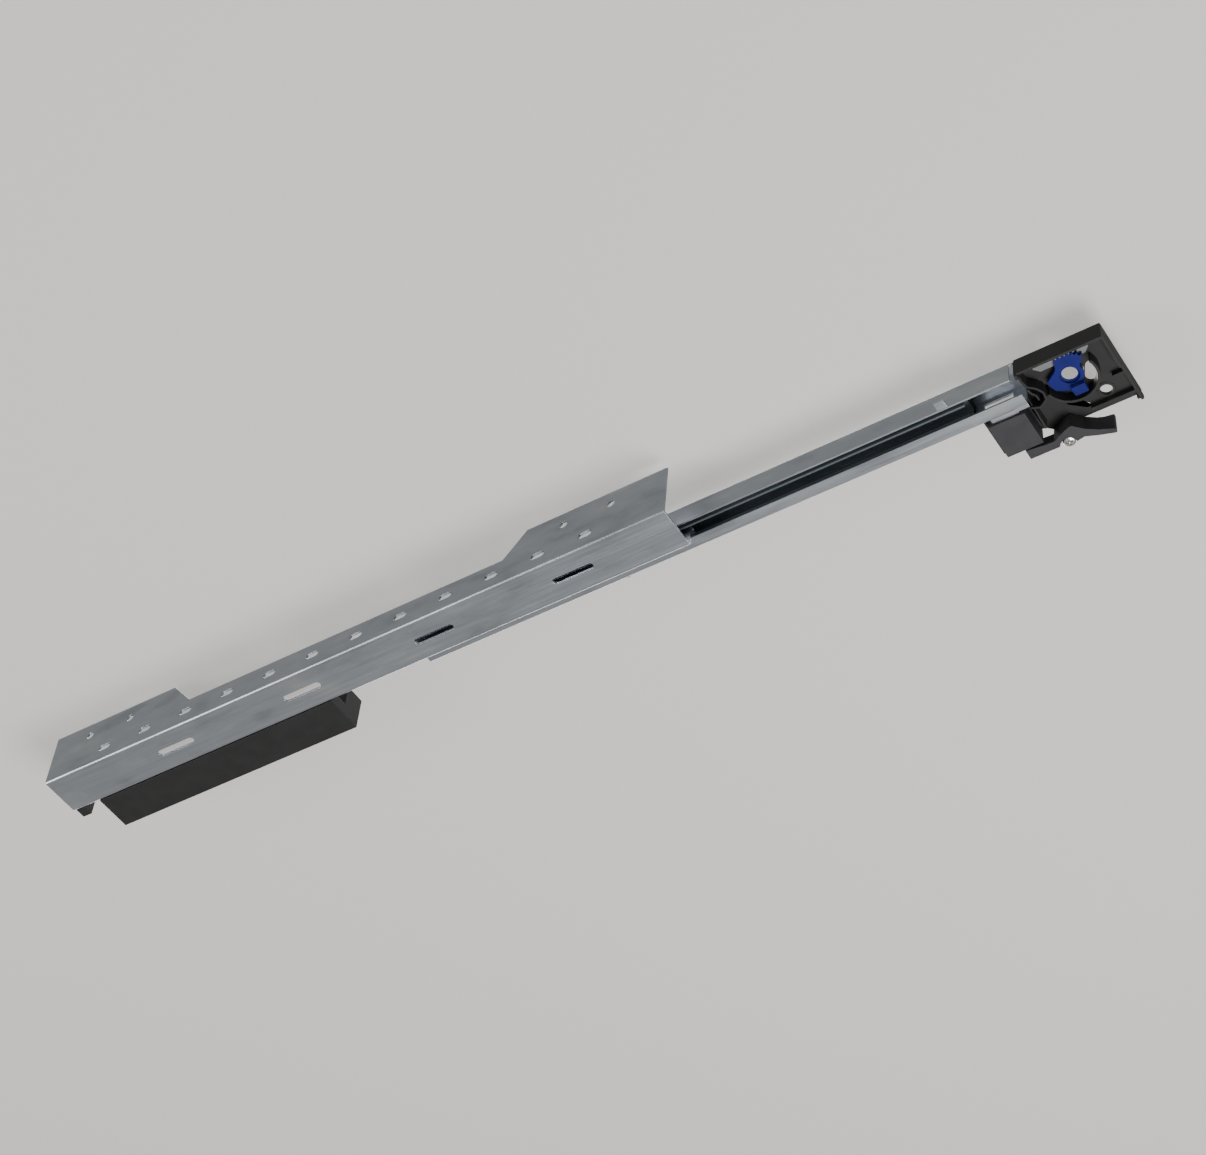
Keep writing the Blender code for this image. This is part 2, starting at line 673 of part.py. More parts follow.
# ---- Roller carriages ----
def roller(name, place, length, finish):
    """A plastic roller with a pin at each end, turning on the Y axis."""
    half = length / 2
    edge = ROLLER_EDGE
    profile = [
        (0, half + PIN_LENGTH),
        (ROLLER_PIN, half + PIN_LENGTH),
        (ROLLER_PIN, half),
        (ROLLER_RADIUS - edge, half),
        (ROLLER_RADIUS, half - edge),
        (ROLLER_RADIUS, edge - half),
        (ROLLER_RADIUS - edge, -half),
        (ROLLER_PIN, -half),
        (ROLLER_PIN, -half - PIN_LENGTH),
        (0, -half - PIN_LENGTH),
    ]
    return turned(name, profile, place, "Y", finish, steps=20)


def roller_carriage(name, rear, length, sides, hollow, skirt_low, roller_z, roller_length, roller_names):
    """A cage with two skirts, a window for each roller and a notch for each roller's pins.

    sides are the skirts' outer faces, and hollow the faces that straddle the member below.
    """
    outer, inner = sides
    low = roller_z - CAGE_THICKNESS / 2
    high = roller_z + CAGE_THICKNESS / 2
    section = [
        (outer, skirt_low),
        (hollow[0], skirt_low),
        (hollow[0], low),
        (hollow[1], low),
        (hollow[1], skirt_low),
        (inner, skirt_low),
        (inner, high),
        (outer, high),
    ]
    cage = add_part(name, prism([section], rear, rear + length, "X"), "white_plastic")
    middle = (outer + inner) / 2
    step = (length - 2 * ROLLER_END_MARGIN) / (ROLLERS_PER_CAGE - 1)
    window = ROLLER_RADIUS + FIT
    pin = ROLLER_PIN + HINGE_FIT
    cuts = []
    for number, roller_name in enumerate(roller_names):
        x = rear + ROLLER_END_MARGIN + step * number
        half = roller_length / 2 + FIT
        reach = roller_length / 2 + PIN_LENGTH + FIT
        cuts.append(box((x - window, middle - half, low - FIT), (x + window, middle + half, high + FIT)))
        cuts.append(box((x - pin, middle - reach, roller_z - pin), (x + pin, middle + reach, high + FIT)))
        roller(roller_name, (x, middle, roller_z), roller_length, "white_plastic")
    boolean(cage, "DIFFERENCE", cuts)
    return cage


def lower_carriage():
    """Runs on the cabinet member's head, inside the intermediate member, at half its pull."""
    sides = (INTERMEDIATE_OUTER + RAIL_SHEET + FIT, INTERMEDIATE_INNER - RAIL_SHEET - FIT)
    hollow = (RISER_OUTER - FIT, RISER_OUTER + HEAD_WIDTH + FIT)
    skirt_low = INTERMEDIATE_LOW + RAIL_SHEET + FIT
    rear = INTERMEDIATE_PULL / 2 - LOWER_CAGE_START
    names = [f"lower_roller_{number + 1}" for number in range(ROLLERS_PER_CAGE)]
    roller_carriage("lower_cage", rear, LOWER_CAGE_LENGTH, sides, hollow, skirt_low,
                    HEAD_TOP + ROLLER_SPACE / 2, LOWER_ROLLER_LENGTH, names)


def upper_carriage():
    """Runs on the intermediate member, inside the drawer member, at half the drawer's own pull."""
    sides = (DRAWER_OUTER + RAIL_SHEET + FIT, DRAWER_INNER - RAIL_SHEET - FIT)
    hollow = (INTERMEDIATE_OUTER - FIT, INTERMEDIATE_INNER + FIT)
    rear = INTERMEDIATE_PULL + DRAWER_PULL / 2 - UPPER_CAGE_START
    names = [f"upper_roller_{number + 1}" for number in range(ROLLERS_PER_CAGE)]
    roller_carriage("upper_cage", rear, UPPER_CAGE_LENGTH, sides, hollow, INTERMEDIATE_TOP - SKIRT_DEPTH,
                    INTERMEDIATE_TOP + ROLLER_SPACE / 2, UPPER_ROLLER_LENGTH, names)


# ---- Drawer member ----
def latch_centre():
    return LATCH_BACK + LATCH_LENGTH / 2


def bolt_height():
    return DRAWER_BOTTOM - LATCH_LOW + LATCH_WALL + FIT + BOLT_HEIGHT / 2


def drawer_member():
    half = RAIL_SHEET / 2
    piece = rolled_section(
        "drawer_member",
        [
            (DRAWER_OUTER + half, DRAWER_BOTTOM - DRAWER_OUTER_HEIGHT),
            (DRAWER_OUTER + half, DRAWER_BOTTOM - half),
            (DRAWER_INNER - half, DRAWER_BOTTOM - half),
            (DRAWER_INNER - half, DRAWER_LOW + half),
            (DRAWER_INNER - DRAWER_FLANGE, DRAWER_LOW + half),
        ],
        DRAWER_FRONT,
        DRAWER_REAR,
        RAIL_SHEET,
        "zinc_steel",
    )
    depth = RAIL_SHEET * 2
    bolt_x = LOCK_FRONT - latch_centre()
    sill = bolt_height() - BOLT_HEIGHT / 2 - 2 * FIT
    window = rectangle(
        (bolt_x - BOLT_LENGTH / 2 - 2 * FIT, sill),
        (bolt_x + BOLT_LENGTH / 2 + 2 * FIT, sill + BOLT_WINDOW),
    )
    cuts = [
        prism([window], DRAWER_INNER - depth, DRAWER_INNER + depth, "Y"),
        box((DRAWER_FRONT - OUTER_WALL_SETBACK, DRAWER_OUTER - depth, DRAWER_LOW),
            (DRAWER_FRONT + depth, DRAWER_OUTER + depth, DRAWER_WEB - BEND_RADIUS)),
    ]
    middle = (DRAWER_OUTER + DRAWER_INNER) / 2
    length = DRAWER_FRONT - DRAWER_REAR
    for share in (0.12, 0.5, 0.88):
        hole = slot((DRAWER_FRONT - length * share, middle), SLOT_LENGTH, SLOT_WIDTH)
        cuts.append(prism([hole], DRAWER_BOTTOM - depth, DRAWER_BOTTOM + depth))
    boolean(piece, "DIFFERENCE", cuts)
    prong_low = DRAWER_BOTTOM - DRAWER_OUTER_HEIGHT + FIT
    prong = [
        (DRAWER_OUTER + half, prong_low),
        (DRAWER_OUTER - PRONG_REACH, prong_low),
        (DRAWER_OUTER - PRONG_REACH, prong_low + RAIL_SHEET),
        (DRAWER_OUTER + half, prong_low + 2 * RAIL_SHEET),
    ]
    prong_x = DRAWER_FRONT - PRONG_BACK
    tab = prism([prong], prong_x - PRONG_LENGTH / 2, prong_x + PRONG_LENGTH / 2, "X")
    ear = box((DRAWER_FRONT - FLANGE_EAR_LENGTH, DRAWER_INNER - DRAWER_FLANGE / 2, DRAWER_LOW),
              (DRAWER_FRONT, DRAWER_INNER + FLANGE_EAR_REACH, DRAWER_LOW + RAIL_SHEET))
    boolean(piece, "UNION", [tab, ear, hook_plate()])
    return piece


def hook_plate():
    """Plate bent up from the end of the web, behind the drawer's back."""
    middle = (DRAWER_OUTER + DRAWER_INNER) / 2
    low = (middle - HOOK_WIDTH / 2, DRAWER_BOTTOM - RAIL_SHEET / 2)
    high = (middle + HOOK_WIDTH / 2, DRAWER_BOTTOM + HOOK_RISE)
    outline = rounded(rectangle(low, high), 2 * BEND_RADIUS)
    return prism([outline], DRAWER_REAR, DRAWER_REAR + RAIL_SHEET, "X")


def hook_pin():
    """Pin on the hook plate that enters the drawer's back."""
    tip = HOOK_PIN_RADIUS * 0.35
    profile = [
        (0, HOOK_PIN_LENGTH),
        (HOOK_PIN_RADIUS - tip, HOOK_PIN_LENGTH),
        (HOOK_PIN_RADIUS, HOOK_PIN_LENGTH - 2 * tip),
        (HOOK_PIN_RADIUS, 0),
        (0, 0),
    ]
    place = (
        DRAWER_REAR + RAIL_SHEET + FIT,
        SIDE_FACE + HOOK_PIN_INBOARD,
        DRAWER_BOTTOM + HOOK_PIN_HEIGHT,
    )
    turned("hook_pin", profile, place, "X", "zinc_steel")


# ---- Locking device ----
def lock_outline():
    """Plan of the plate: a rectangle with a tongue for the lever's screw and one over the latch block."""
    outer = FIT
    rear = LOCK_LENGTH - FIT
    rail_inner = DRAWER_INNER - SIDE_FACE + FIT
    latch_inner = LATCH_INBOARD + LATCH_WIDTH
    back = LEVER_PIVOT_BACK
    inboard = LEVER_PIVOT_INBOARD
    corners = [
        (0, outer),
        (0, LOCK_WIDTH),
        (back - TONGUE_FRONT, LOCK_WIDTH),
        (back - TONGUE_FRONT * 3 / 4, LOCK_WIDTH - WALL),
        (back - TONGUE_FRONT / 3, inboard + LEVER_BOSS / 3),
        (back - LEVER_BOSS / 3, inboard + LEVER_BOSS),
        (back + TONGUE_REAR * 0.42, inboard + LEVER_BOSS),
        (back + TONGUE_REAR, LOCK_WIDTH),
        (LATCH_BACK - WALL, latch_inner),
        (bay_rear(), latch_inner),
        (bay_rear(), BAY_INBOARD),
        (LATCH_BACK - 2 * WALL, BAY_INBOARD),
        (LATCH_BACK - 2 * WALL, rail_inner),
        (rear, rail_inner),
        (rear, outer),
    ]
    return rounded([lock_place(*corner) for corner in corners], PLATE_CORNER, 2)


def bay_rear():
    return LATCH_BACK + LATCH_LENGTH + FIT + WALL


def lock_rib(outlines, depth):
    """A rib that hangs from the plate to the given depth below the drawer bottom."""
    return prism(outlines, DRAWER_BOTTOM - depth, PLATE_LOW + BITE)


def lock_bar(front, rear, outer, inner, depth):
    return lock_rib([rectangle(lock_place(rear, outer), lock_place(front, inner))], depth)


def curved_rib(path, width, depth):
    places = [lock_place(back * MM, inboard * MM) for back, inboard in path]
    return lock_rib([ribbon(rounded(places, HOOK_BEND, 3, closed=False), width)], depth)


def lock_housing():
    outer = FIT
    rear = LOCK_LENGTH - FIT
    rail_inner = DRAWER_INNER - SIDE_FACE + FIT
    latch_inner = LATCH_INBOARD + LATCH_WIDTH
    dial = lock_place(DIAL_BACK, DIAL_INBOARD)
    screw_hole = lock_place(ROUND_BACK, ROUND_INBOARD)
    holes = [
        circle(dial, SNAP_RING + FIT, 28),
        slot(lock_place(OVAL_BACK, OVAL_INBOARD), OVAL_LENGTH, OVAL_WIDTH, OVAL_TILT),
        circle(screw_hole, ROUND_RADIUS),
        slot(lock_place(SLIT_BACK, SLIT_INBOARD), SLIT_LENGTH, SLIT_WIDTH, SLIT_TILT),
        circle(lock_place(LEVER_PIVOT_BACK, LEVER_PIVOT_INBOARD), SCREW_SHANK + HINGE_FIT, 16),
    ]
    plate = prism([lock_outline()] + holes, PLATE_LOW, DRAWER_BOTTOM)
    piece = add_part("lock_housing", plate, "charcoal_plastic")
    joined = [
        lock_bar(0, rear, outer, outer + WALL, WALL_DEPTH),
        lock_bar(rear - WALL, rear, outer, outer + 2 * WALL, POST_DEPTH),
        lock_bar(0, WALL, outer, LOCK_WIDTH, LOW_RIB_DEPTH),
        lock_bar(0, WALL, outer, LOCK_WIDTH / 2, RIB_DEPTH),
        lock_bar(0, WALL, LOCK_WIDTH - BITE, LOCK_WIDTH + LUG_REACH, LOW_RIB_DEPTH - LUG_RISE),
        lock_bar(0, 2 * WALL, LOCK_WIDTH - BITE, LOCK_WIDTH + LUG_REACH - LUG_STEP,
                 LOW_RIB_DEPTH - LUG_RISE),
        lock_rib([ring_sector(dial, ARC_RIB_RADIUS, ARC_RIB_RADIUS + WALL, ARC_RIB_START, ARC_RIB_END, 22)],
                 RIB_DEPTH),
        curved_rib(LONG_HOOK, WALL * 0.8, RIB_DEPTH + HOOK_EXTRA),
        curved_rib(SHORT_HOOK, WALL * 0.7, RIB_DEPTH),
        lock_rib([circle(screw_hole, ROUND_RADIUS + WALL), circle(screw_hole, ROUND_RADIUS)],
                 PLATE + ROUND_BOSS),
        lock_bar(WALL / 2, DIAL_BACK, LOCK_WIDTH - 4 * WALL, LOCK_WIDTH - 3 * WALL, LOW_RIB_DEPTH),
        lock_bar(WALL / 2, SHELF_BACK, SHELF_INBOARD, SHELF_INBOARD + WALL, LOW_RIB_DEPTH),
        lock_bar(LATCH_BACK - 3 * WALL, LATCH_BACK - 2 * WALL, rail_inner, latch_inner - 3 * WALL, RIB_DEPTH),
        lock_bar(bay_rear() - WALL, bay_rear(), BAY_INBOARD, latch_inner, RIB_DEPTH),
        lock_bar(latch_centre() - 2 * WALL, latch_centre() + 2 * WALL, spring_end(), spring_end() + WALL,
                 LATCH_LOW - LATCH_WALL - FIT),
    ]
    boolean(piece, "UNION", joined)
    return piece


def spring_end():
    return LATCH_INBOARD + LATCH_WIDTH * SPRING_SHARE


def dial_outline(centre):
    """Toothed fan on the outboard side, waist in front, and a broad lobe behind."""
    pitch_angle = 360 / GEAR_TEETH
    root = DIAL_TIP - TOOTH_HEIGHT
    base = math.degrees(TOOTH_BASE / 2 / root)
    top = math.degrees(TOOTH_TOP / 2 / DIAL_TIP)
    points = []
    for number in range(FIRST_TOOTH, LAST_TOOTH + 1):
        middle = -90 + pitch_angle * number
        points.append(arc(centre, root, middle - base, middle, 1)[0])
        points += arc(centre, DIAL_TIP, middle - top, middle + top, 1)
        points.append(arc(centre, root, middle, middle + base, 1)[1])
    points += arc(centre, DIAL_WAIST, -22, 62, 6)
    points += arc(centre, DIAL_LOBE * 0.84, 82, 126, 3)
    points += arc(centre, DIAL_LOBE, 150, 186, 4)
    points += arc(centre, DIAL_WAIST * 1.13, 216, 232, 2)
    return points


def height_dial():
    x, y = lock_place(DIAL_BACK, DIAL_INBOARD)
    low = DRAWER_BOTTOM - DIAL_LOW
    high = low + DIAL_THICKNESS
    disc = prism([dial_outline((x, y)), circle((x, y), DIAL_BORE, 28)], low, high)
    piece = add_part("height_dial", disc, "blue_plastic", (x, y, low))
    tab_rear = x + TAB_FORWARD - TAB_WIDTH / 2
    tab = rounded(rectangle((tab_rear, y + TAB_NEAR), (tab_rear + TAB_WIDTH, y + TAB_REACH)), TAB_CORNER)
    ring = ring_sector((x, y), SNAP_RING - SNAP_WALL, SNAP_RING, 165, 410, 24)
    joined = [
        prism([tab], low - TAB_DROP, low + BITE),
        prism([ring], high - BITE, DRAWER_BOTTOM - 2 * FIT),
    ]
    boolean(piece, "UNION", joined)
    recess = round_bar((x, y), DIAL_RECESS, low - FIT, high - DIAL_WEB, "Z", 28)
    boolean(piece, "DIFFERENCE", [recess])
    return piece


def height_rack():
    """Slide moved by the dial: a plate above the fan, with a toothed lip beside it."""
    x, y = lock_place(DIAL_BACK, DIAL_INBOARD)
    pitch = 2 * math.pi * (DIAL_TIP - MESH_DEPTH / 2) / GEAR_TEETH
    plate_low = DRAWER_BOTTOM - DIAL_LOW + DIAL_THICKNESS + FIT
    tip = y - DIAL_TIP + MESH_DEPTH
    root = tip - TOOTH_HEIGHT
    outer = SIDE_FACE + 2 * FIT + WALL
    start = x - RACK_LENGTH / 2
    end = x + RACK_LENGTH / 2
    inner = SIDE_FACE + RACK_PLATE
    cut = inner - RACK_CORNER
    plate = [(start, outer), (end, outer), (end, cut), (end - RACK_CORNER, inner),
             (start + RACK_CORNER, inner), (start, cut)]
    piece = add_part("height_rack", prism([plate], plate_low, PLATE_LOW - FIT), "light_grey_plastic")
    points = [(start, outer), (end, outer), (end, root)]
    for number in range(4, -5, -1):
        middle = x + pitch * (number - 0.5)
        points += [(middle + TOOTH_BASE / 2, root), (middle + TOOTH_TOP / 2, tip)]
        points += [(middle - TOOTH_TOP / 2, tip), (middle - TOOTH_BASE / 2, root)]
    points.append((start, root))
    boolean(piece, "UNION", [prism([points], DRAWER_BOTTOM - RACK_LIP_LOW, plate_low + BITE)])
    return piece


def latch_block():
    """Square block beside the rail: a cap, open at the top and towards the rail's side."""
    x0, y0 = lock_place(LATCH_BACK + LATCH_LENGTH, LATCH_INBOARD)
    x1, y1 = lock_place(LATCH_BACK, LATCH_INBOARD + LATCH_WIDTH)
    low = DRAWER_BOTTOM - LATCH_LOW
    high = DRAWER_BOTTOM - LATCH_HIGH
    piece = add_part("latch_block", box((x0, y0, low), (x1, y1, high)), "grey_black_plastic")
    wall = LATCH_WALL
    cuts = [box((x0 + wall, y0 + wall, low + wall), (x1 - wall, y1 - wall, high + wall))]
    bolt_x = LOCK_FRONT - latch_centre()
    half = BOLT_LENGTH / 2 + FIT
    rise = BOLT_HEIGHT / 2 + FIT
    cuts.append(box((bolt_x - half, y0 - wall, bolt_height() - rise),
                    (bolt_x + half, y0 + 2 * wall, bolt_height() + rise)))
    finger_x = LOCK_FRONT - FINGER_BACK
    half = FINGER_WIDTH / 2 + FINGER_PLAY
    cuts.append(box((finger_x - half, y1 - 2 * wall, high - FINGER_HEIGHT - 2 * FIT),
                    (finger_x + half, y1 + wall, high + wall)))
    boolean(piece, "DIFFERENCE", cuts)
    return piece


def latch_bolt():
    """Steel bolt in the latch block, whose nose enters the window in the drawer member."""
    x = LOCK_FRONT - latch_centre()
    y = SIDE_FACE + LATCH_INBOARD
    z = bolt_height()
    half = BOLT_HEIGHT / 2
    tail = y + LATCH_WALL + 2 * RAIL_SHEET
    nose = [
        (y - BOLT_REACH, z + half * 0.2),
        (y - BOLT_REACH + BOLT_CHAMFER, z - half),
        (tail, z - half),
        (tail, z + half),
        (y - BOLT_REACH, z + half),
    ]
    mesh = prism([nose], x - BOLT_LENGTH / 2, x + BOLT_LENGTH / 2, "X")
    return add_part("latch_bolt", mesh, "zinc_steel")


def latch_spring():
    start = SIDE_FACE + LATCH_INBOARD + LATCH_WALL + 2 * RAIL_SHEET + FIT
    length = SIDE_FACE + spring_end() - FIT - start
    x = LOCK_FRONT - latch_centre()
    return coil("latch_spring", (x, start, bolt_height()), (0, 1, 0), length, SPRING_RADIUS, SPRING_WIRE,
                SPRING_TURNS, "spring_steel", per_turn=10)


def lever_outline():
    """Gull-wing plan of the lever: rear arm, crest, round boss at the pivot, and front wing."""
    corners = [lock_place(back * MM, inboard * MM) for back, inboard in LEVER_OUTER]
    outer = rounded(corners, LEVER_CORNER, 2, closed=False)
    centre = lock_place(LEVER_PIVOT_BACK, LEVER_PIVOT_INBOARD)
    boss = arc(centre, LEVER_BOSS, 20, 160, 7)
    arm = [lock_place(back * MM, inboard * MM) for back, inboard in LEVER_ARM]
    return outer + boss + arm


def release_lever():
    x, y = lock_place(LEVER_PIVOT_BACK, LEVER_PIVOT_INBOARD)
    low = DRAWER_BOTTOM - LEVER_LOW
    high = DRAWER_BOTTOM - LEVER_HIGH
    body = prism([lever_outline(), circle((x, y), SCREW_SHANK + HINGE_FIT, 16)], low, high + WING_RISE)
    piece = add_part("release_lever", body, "grey_black_plastic", (x, y, low))
    relief_x = LOCK_FRONT - ARM_RELIEF_BACK
    lowered = [
        box((LOCK_FRONT - LEVER_OUTER[0][0] * MM - FIT, SIDE_FACE, high),
            (LOCK_FRONT - WING_BACK, y + 3 * LEVER_BOSS, high + 2 * WING_RISE)),
        box((relief_x - ARM_RELIEF_LENGTH, SIDE_FACE, high - ARM_RELIEF_DEPTH),
            (relief_x, y + 3 * LEVER_BOSS, high + WING_RISE)),
    ]
    block_inner = SIDE_FACE + LATCH_INBOARD + LATCH_WIDTH
    arm_outer = SIDE_FACE + LEVER_OUTER[1][1] * MM
    finger_x = LOCK_FRONT - FINGER_BACK
    finger_z = DRAWER_BOTTOM - LATCH_HIGH - FINGER_HEIGHT
    head_edge = block_inner - LATCH_WALL - FINGER_SLACK
    neck = box((finger_x - FINGER_WIDTH / 2, head_edge - FINGER_HEAD, finger_z),
               (finger_x + FINGER_WIDTH / 2, arm_outer + BITE, high))
    head = box((finger_x - FINGER_WIDTH * 1.3, head_edge - FINGER_HEAD, finger_z),
               (finger_x + FINGER_WIDTH * 1.3, head_edge, high))
    seat = low + SCREW_SINK + SCREW_HEAD_HEIGHT + FIT
    recess = round_bar((x, y), SCREW_HEAD + SCREW_CLEARANCE, low - FIT, seat, "Z", 28)
    boolean(piece, "DIFFERENCE", lowered)
    boolean(piece, "UNION", [neck, head])
    boolean(piece, "DIFFERENCE", [recess])
    return piece


def pivot_screw():
    """Pan-head screw that the lever turns on; its head sits in the lever's open recess."""
    x, y = lock_place(LEVER_PIVOT_BACK, LEVER_PIVOT_INBOARD)
    seat = DRAWER_BOTTOM - LEVER_LOW + SCREW_SINK + SCREW_HEAD_HEIGHT
    top = DRAWER_BOTTOM - FIT
    low = seat - SCREW_HEAD_HEIGHT
    profile = [
        (0, top),
        (SCREW_SHANK, top),
        (SCREW_SHANK, seat),
        (SCREW_HEAD, seat),
        (SCREW_HEAD, low + SCREW_HEAD_HEIGHT * 0.45),
        (SCREW_HEAD * 0.82, low + SCREW_HEAD_HEIGHT * 0.15),
        (SCREW_HEAD * 0.5, low),
        (0, low),
    ]
    piece = turned("pivot_screw", profile, (x, y, 0), "Z", "bright_steel", steps=28)
    arm = SCREW_HEAD * 0.55
    cross = [
        box((x - arm, y - CROSS_BLADE, low - FIT), (x + arm, y + CROSS_BLADE, low + CROSS_DEPTH)),
        box((x - CROSS_BLADE, y - arm, low - FIT), (x + CROSS_BLADE, y + arm, low + CROSS_DEPTH)),
    ]
    boolean(piece, "DIFFERENCE", cross)
    return piece


# ---- Soft-close unit, on the riser behind the drawer ----
def damper_outer():
    return DRAWER_INNER + DAMPER_GAP


def damper_middle():
    return damper_outer() + DAMPER_WALL + (DAMPER_WIDTH - DAMPER_WALL) / 2


def rivet_places():
    middle = -DAMPER_REAR + DAMPER_LENGTH / 2
    return (middle - RIVET_SPACING / 2, middle + RIVET_SPACING / 2)


def rivet_height():
    return (CABINET_SHEET + DRAWER_LOW) / 2 - RIVET_DROP


def chamber():
    """Low and high corners of the mechanism's chamber, which is open on the inboard side."""
    front = -DAMPER_REAR + DAMPER_LENGTH
    return (
        (-DAMPER_REAR + 3 * DAMPER_WALL, damper_outer() + DAMPER_WALL, FIT + 2 * DAMPER_WALL),
        (front - 2 * DAMPER_WALL, damper_outer() + 2 * DAMPER_WIDTH, DAMPER_HEIGHT - DAMPER_WALL),
    )


def catch_front():
    return chamber()[1][0] - FIT - CATCH_FRONT_GAP


def rod_height():
    return chamber()[0][2] + FIT + CYLINDER_RADIUS


def spring_height():
    return rod_height() + CYLINDER_RADIUS + CLOSING_SPRING_RADIUS + SPRING_GAP


def damper_housing():
    rear = -DAMPER_REAR
    front = rear + DAMPER_LENGTH
    inner = damper_outer() + DAMPER_WIDTH
    foot_top = DRAWER_LOW - 5 * FIT
    section = [
        (RISER_INNER + FIT, FIT),
        (inner, FIT),
        (inner, DAMPER_HEIGHT),
        (damper_outer(), DAMPER_HEIGHT),
        (damper_outer(), foot_top),
        (RISER_INNER + FIT, foot_top),
    ]
    piece = add_part("damper_housing", prism([section], rear, front, "X"), "charcoal_plastic")
    low, high = chamber()
    middle = damper_middle()
    track_front = catch_front() + FIT
    track_rear = catch_front() - CATCH_LENGTH - CATCH_TRAVEL - FIT
    prong = FORK_WIDTH / 2 + FIT
    cuts = [
        box(low, high),
        box((track_rear, middle - prong, DAMPER_HEIGHT - 2 * DAMPER_WALL),
            (track_front, middle + prong, DAMPER_HEIGHT + FIT)),
    ]
    pocket_high = damper_outer() - DAMPER_WALL
    for x in rivet_places():
        cuts.append(round_bar((x, rivet_height()), RIVET_RADIUS + HINGE_FIT, RISER_INNER - FIT, pocket_high,
                              "Y", 16))
        cuts.append(box((x - 2 * RIVET_HEAD, RISER_INNER + 3 * DAMPER_WALL, FIT + DAMPER_WALL),
                        (x + 2 * RIVET_HEAD, pocket_high, foot_top + FIT)))
    boolean(piece, "DIFFERENCE", cuts)
    return piece


def damper_rivets():
    foot_end = RISER_INNER + 3 * DAMPER_WALL
    for name, x in zip(("damper_rivet_rear", "damper_rivet_front"), rivet_places()):
        outer = RISER_OUTER - FIT
        inner = foot_end + FIT
        profile = [
            (0, inner + RIVET_DOME),
            (RIVET_HEAD * 0.7, inner + RIVET_DOME),
            (RIVET_HEAD, inner),
            (RIVET_RADIUS, inner),
            (RIVET_RADIUS, outer),
            (RIVET_HEAD, outer),
            (RIVET_HEAD * 0.7, outer - RIVET_DOME),
            (0, outer - RIVET_DOME),
        ]
        turned(name, profile, (x, 0, rivet_height()), "Y", "bright_steel", steps=20)


def damper_cylinder():
    """Silver cylinder whose bore lets the piston rod in by the whole travel."""
    low, high = chamber()
    rear = low[0] + FIT
    front = rear + CYLINDER_LENGTH
    bore = ROD_RADIUS + HINGE_FIT * 2
    floor = front - CATCH_TRAVEL - 2 * CYLINDER_RADIUS
    profile = [
        (0, floor),
        (bore, floor),
        (bore, front),
        (CYLINDER_RADIUS - ROD_RADIUS / 2, front),
        (CYLINDER_RADIUS, front - ROD_RADIUS / 2),
        (CYLINDER_RADIUS, rear),
        (0, rear),
    ]
    return turned("damper_cylinder", profile, (0, damper_middle(), rod_height()), "X", "bright_steel")


def soft_close_catch():
    """Sliding catch with a fork on top for the drawer member's peg."""
    low, high = chamber()
    front = catch_front()
    rear = front - CATCH_LENGTH
    middle = damper_middle()
    half = (DAMPER_WIDTH - DAMPER_WALL) / 2 - CATCH_SIDE_GAP
    body = box((rear, middle - half, low[2] + FIT), (front, middle + half, high[2] - FIT))
    piece = add_part("soft_close_catch", body, "white_plastic")
    prong_y = FORK_WIDTH / 2
    top = DAMPER_HEIGHT + FORK_RISE
    fork = (front + rear) / 2
    joined = []
    for side in (-1, 1):
        inner = fork + side * FORK_GAP / 2
        ends = sorted((inner, inner + side * FORK_THICKNESS))
        joined.append(box((ends[0], middle - prong_y, high[2] - 2 * FIT), (ends[1], middle + prong_y, top)))
    boolean(piece, "UNION", joined)
    seat = round_bar((middle, rod_height()), ROD_RADIUS + HINGE_FIT, rear - FIT, rear + ROD_SEAT, "X", 16)
    boolean(piece, "DIFFERENCE", [seat])
    return piece


def piston_rod():
    low, high = chamber()
    front = catch_front() - CATCH_LENGTH + ROD_SEAT - 2 * FIT
    rear = low[0] + FIT + CYLINDER_LENGTH - ROD_SEAT
    profile = [(0, front), (ROD_RADIUS, front), (ROD_RADIUS, rear), (0, rear)]
    return turned("piston_rod", profile, (0, damper_middle(), rod_height()), "X", "bright_steel", steps=16)


def closing_spring():
    low, high = chamber()
    start = low[0] + FIT
    length = catch_front() - CATCH_LENGTH - FIT - start
    return coil("closing_spring", (start, damper_middle(), spring_height()), (1, 0, 0), length,
                CLOSING_SPRING_RADIUS, SPRING_WIRE, CLOSING_SPRING_TURNS, "spring_steel", per_turn=8)


def catch_peg():
    """Bracket on the drawer member, low over the soft-close unit, with the peg that works the catch."""
    closed_fork = catch_front() - CATCH_LENGTH / 2 - CATCH_TRAVEL
    x = closed_fork + LOCK_FRONT
    top = DRAWER_BOTTOM - PEG_BRACKET_DROP
    half = PEG_BRACKET_LENGTH / 2
    middle = damper_middle()
    plate = [
        (DRAWER_INNER + FIT, top),
        (DRAWER_INNER + FIT, DRAWER_LOW + 8 * RAIL_SHEET),
        (DRAWER_INNER + FIT + RAIL_SHEET / 2, DRAWER_LOW + 8 * RAIL_SHEET),
        (DRAWER_INNER + FIT + RAIL_SHEET / 2, top - RAIL_SHEET),
        (middle + PEG_MARGIN, top - RAIL_SHEET),
        (middle + PEG_MARGIN, top),
    ]
    piece = add_part("catch_peg", prism([plate], x - half, x + half, "X"), "zinc_steel")
    peg_low = DAMPER_HEIGHT + FORK_RISE + FIT
    boolean(piece, "UNION", [round_bar((x, middle), PEG_RADIUS, peg_low, top - RAIL_SHEET / 2, "Z", 20)])
    return piece


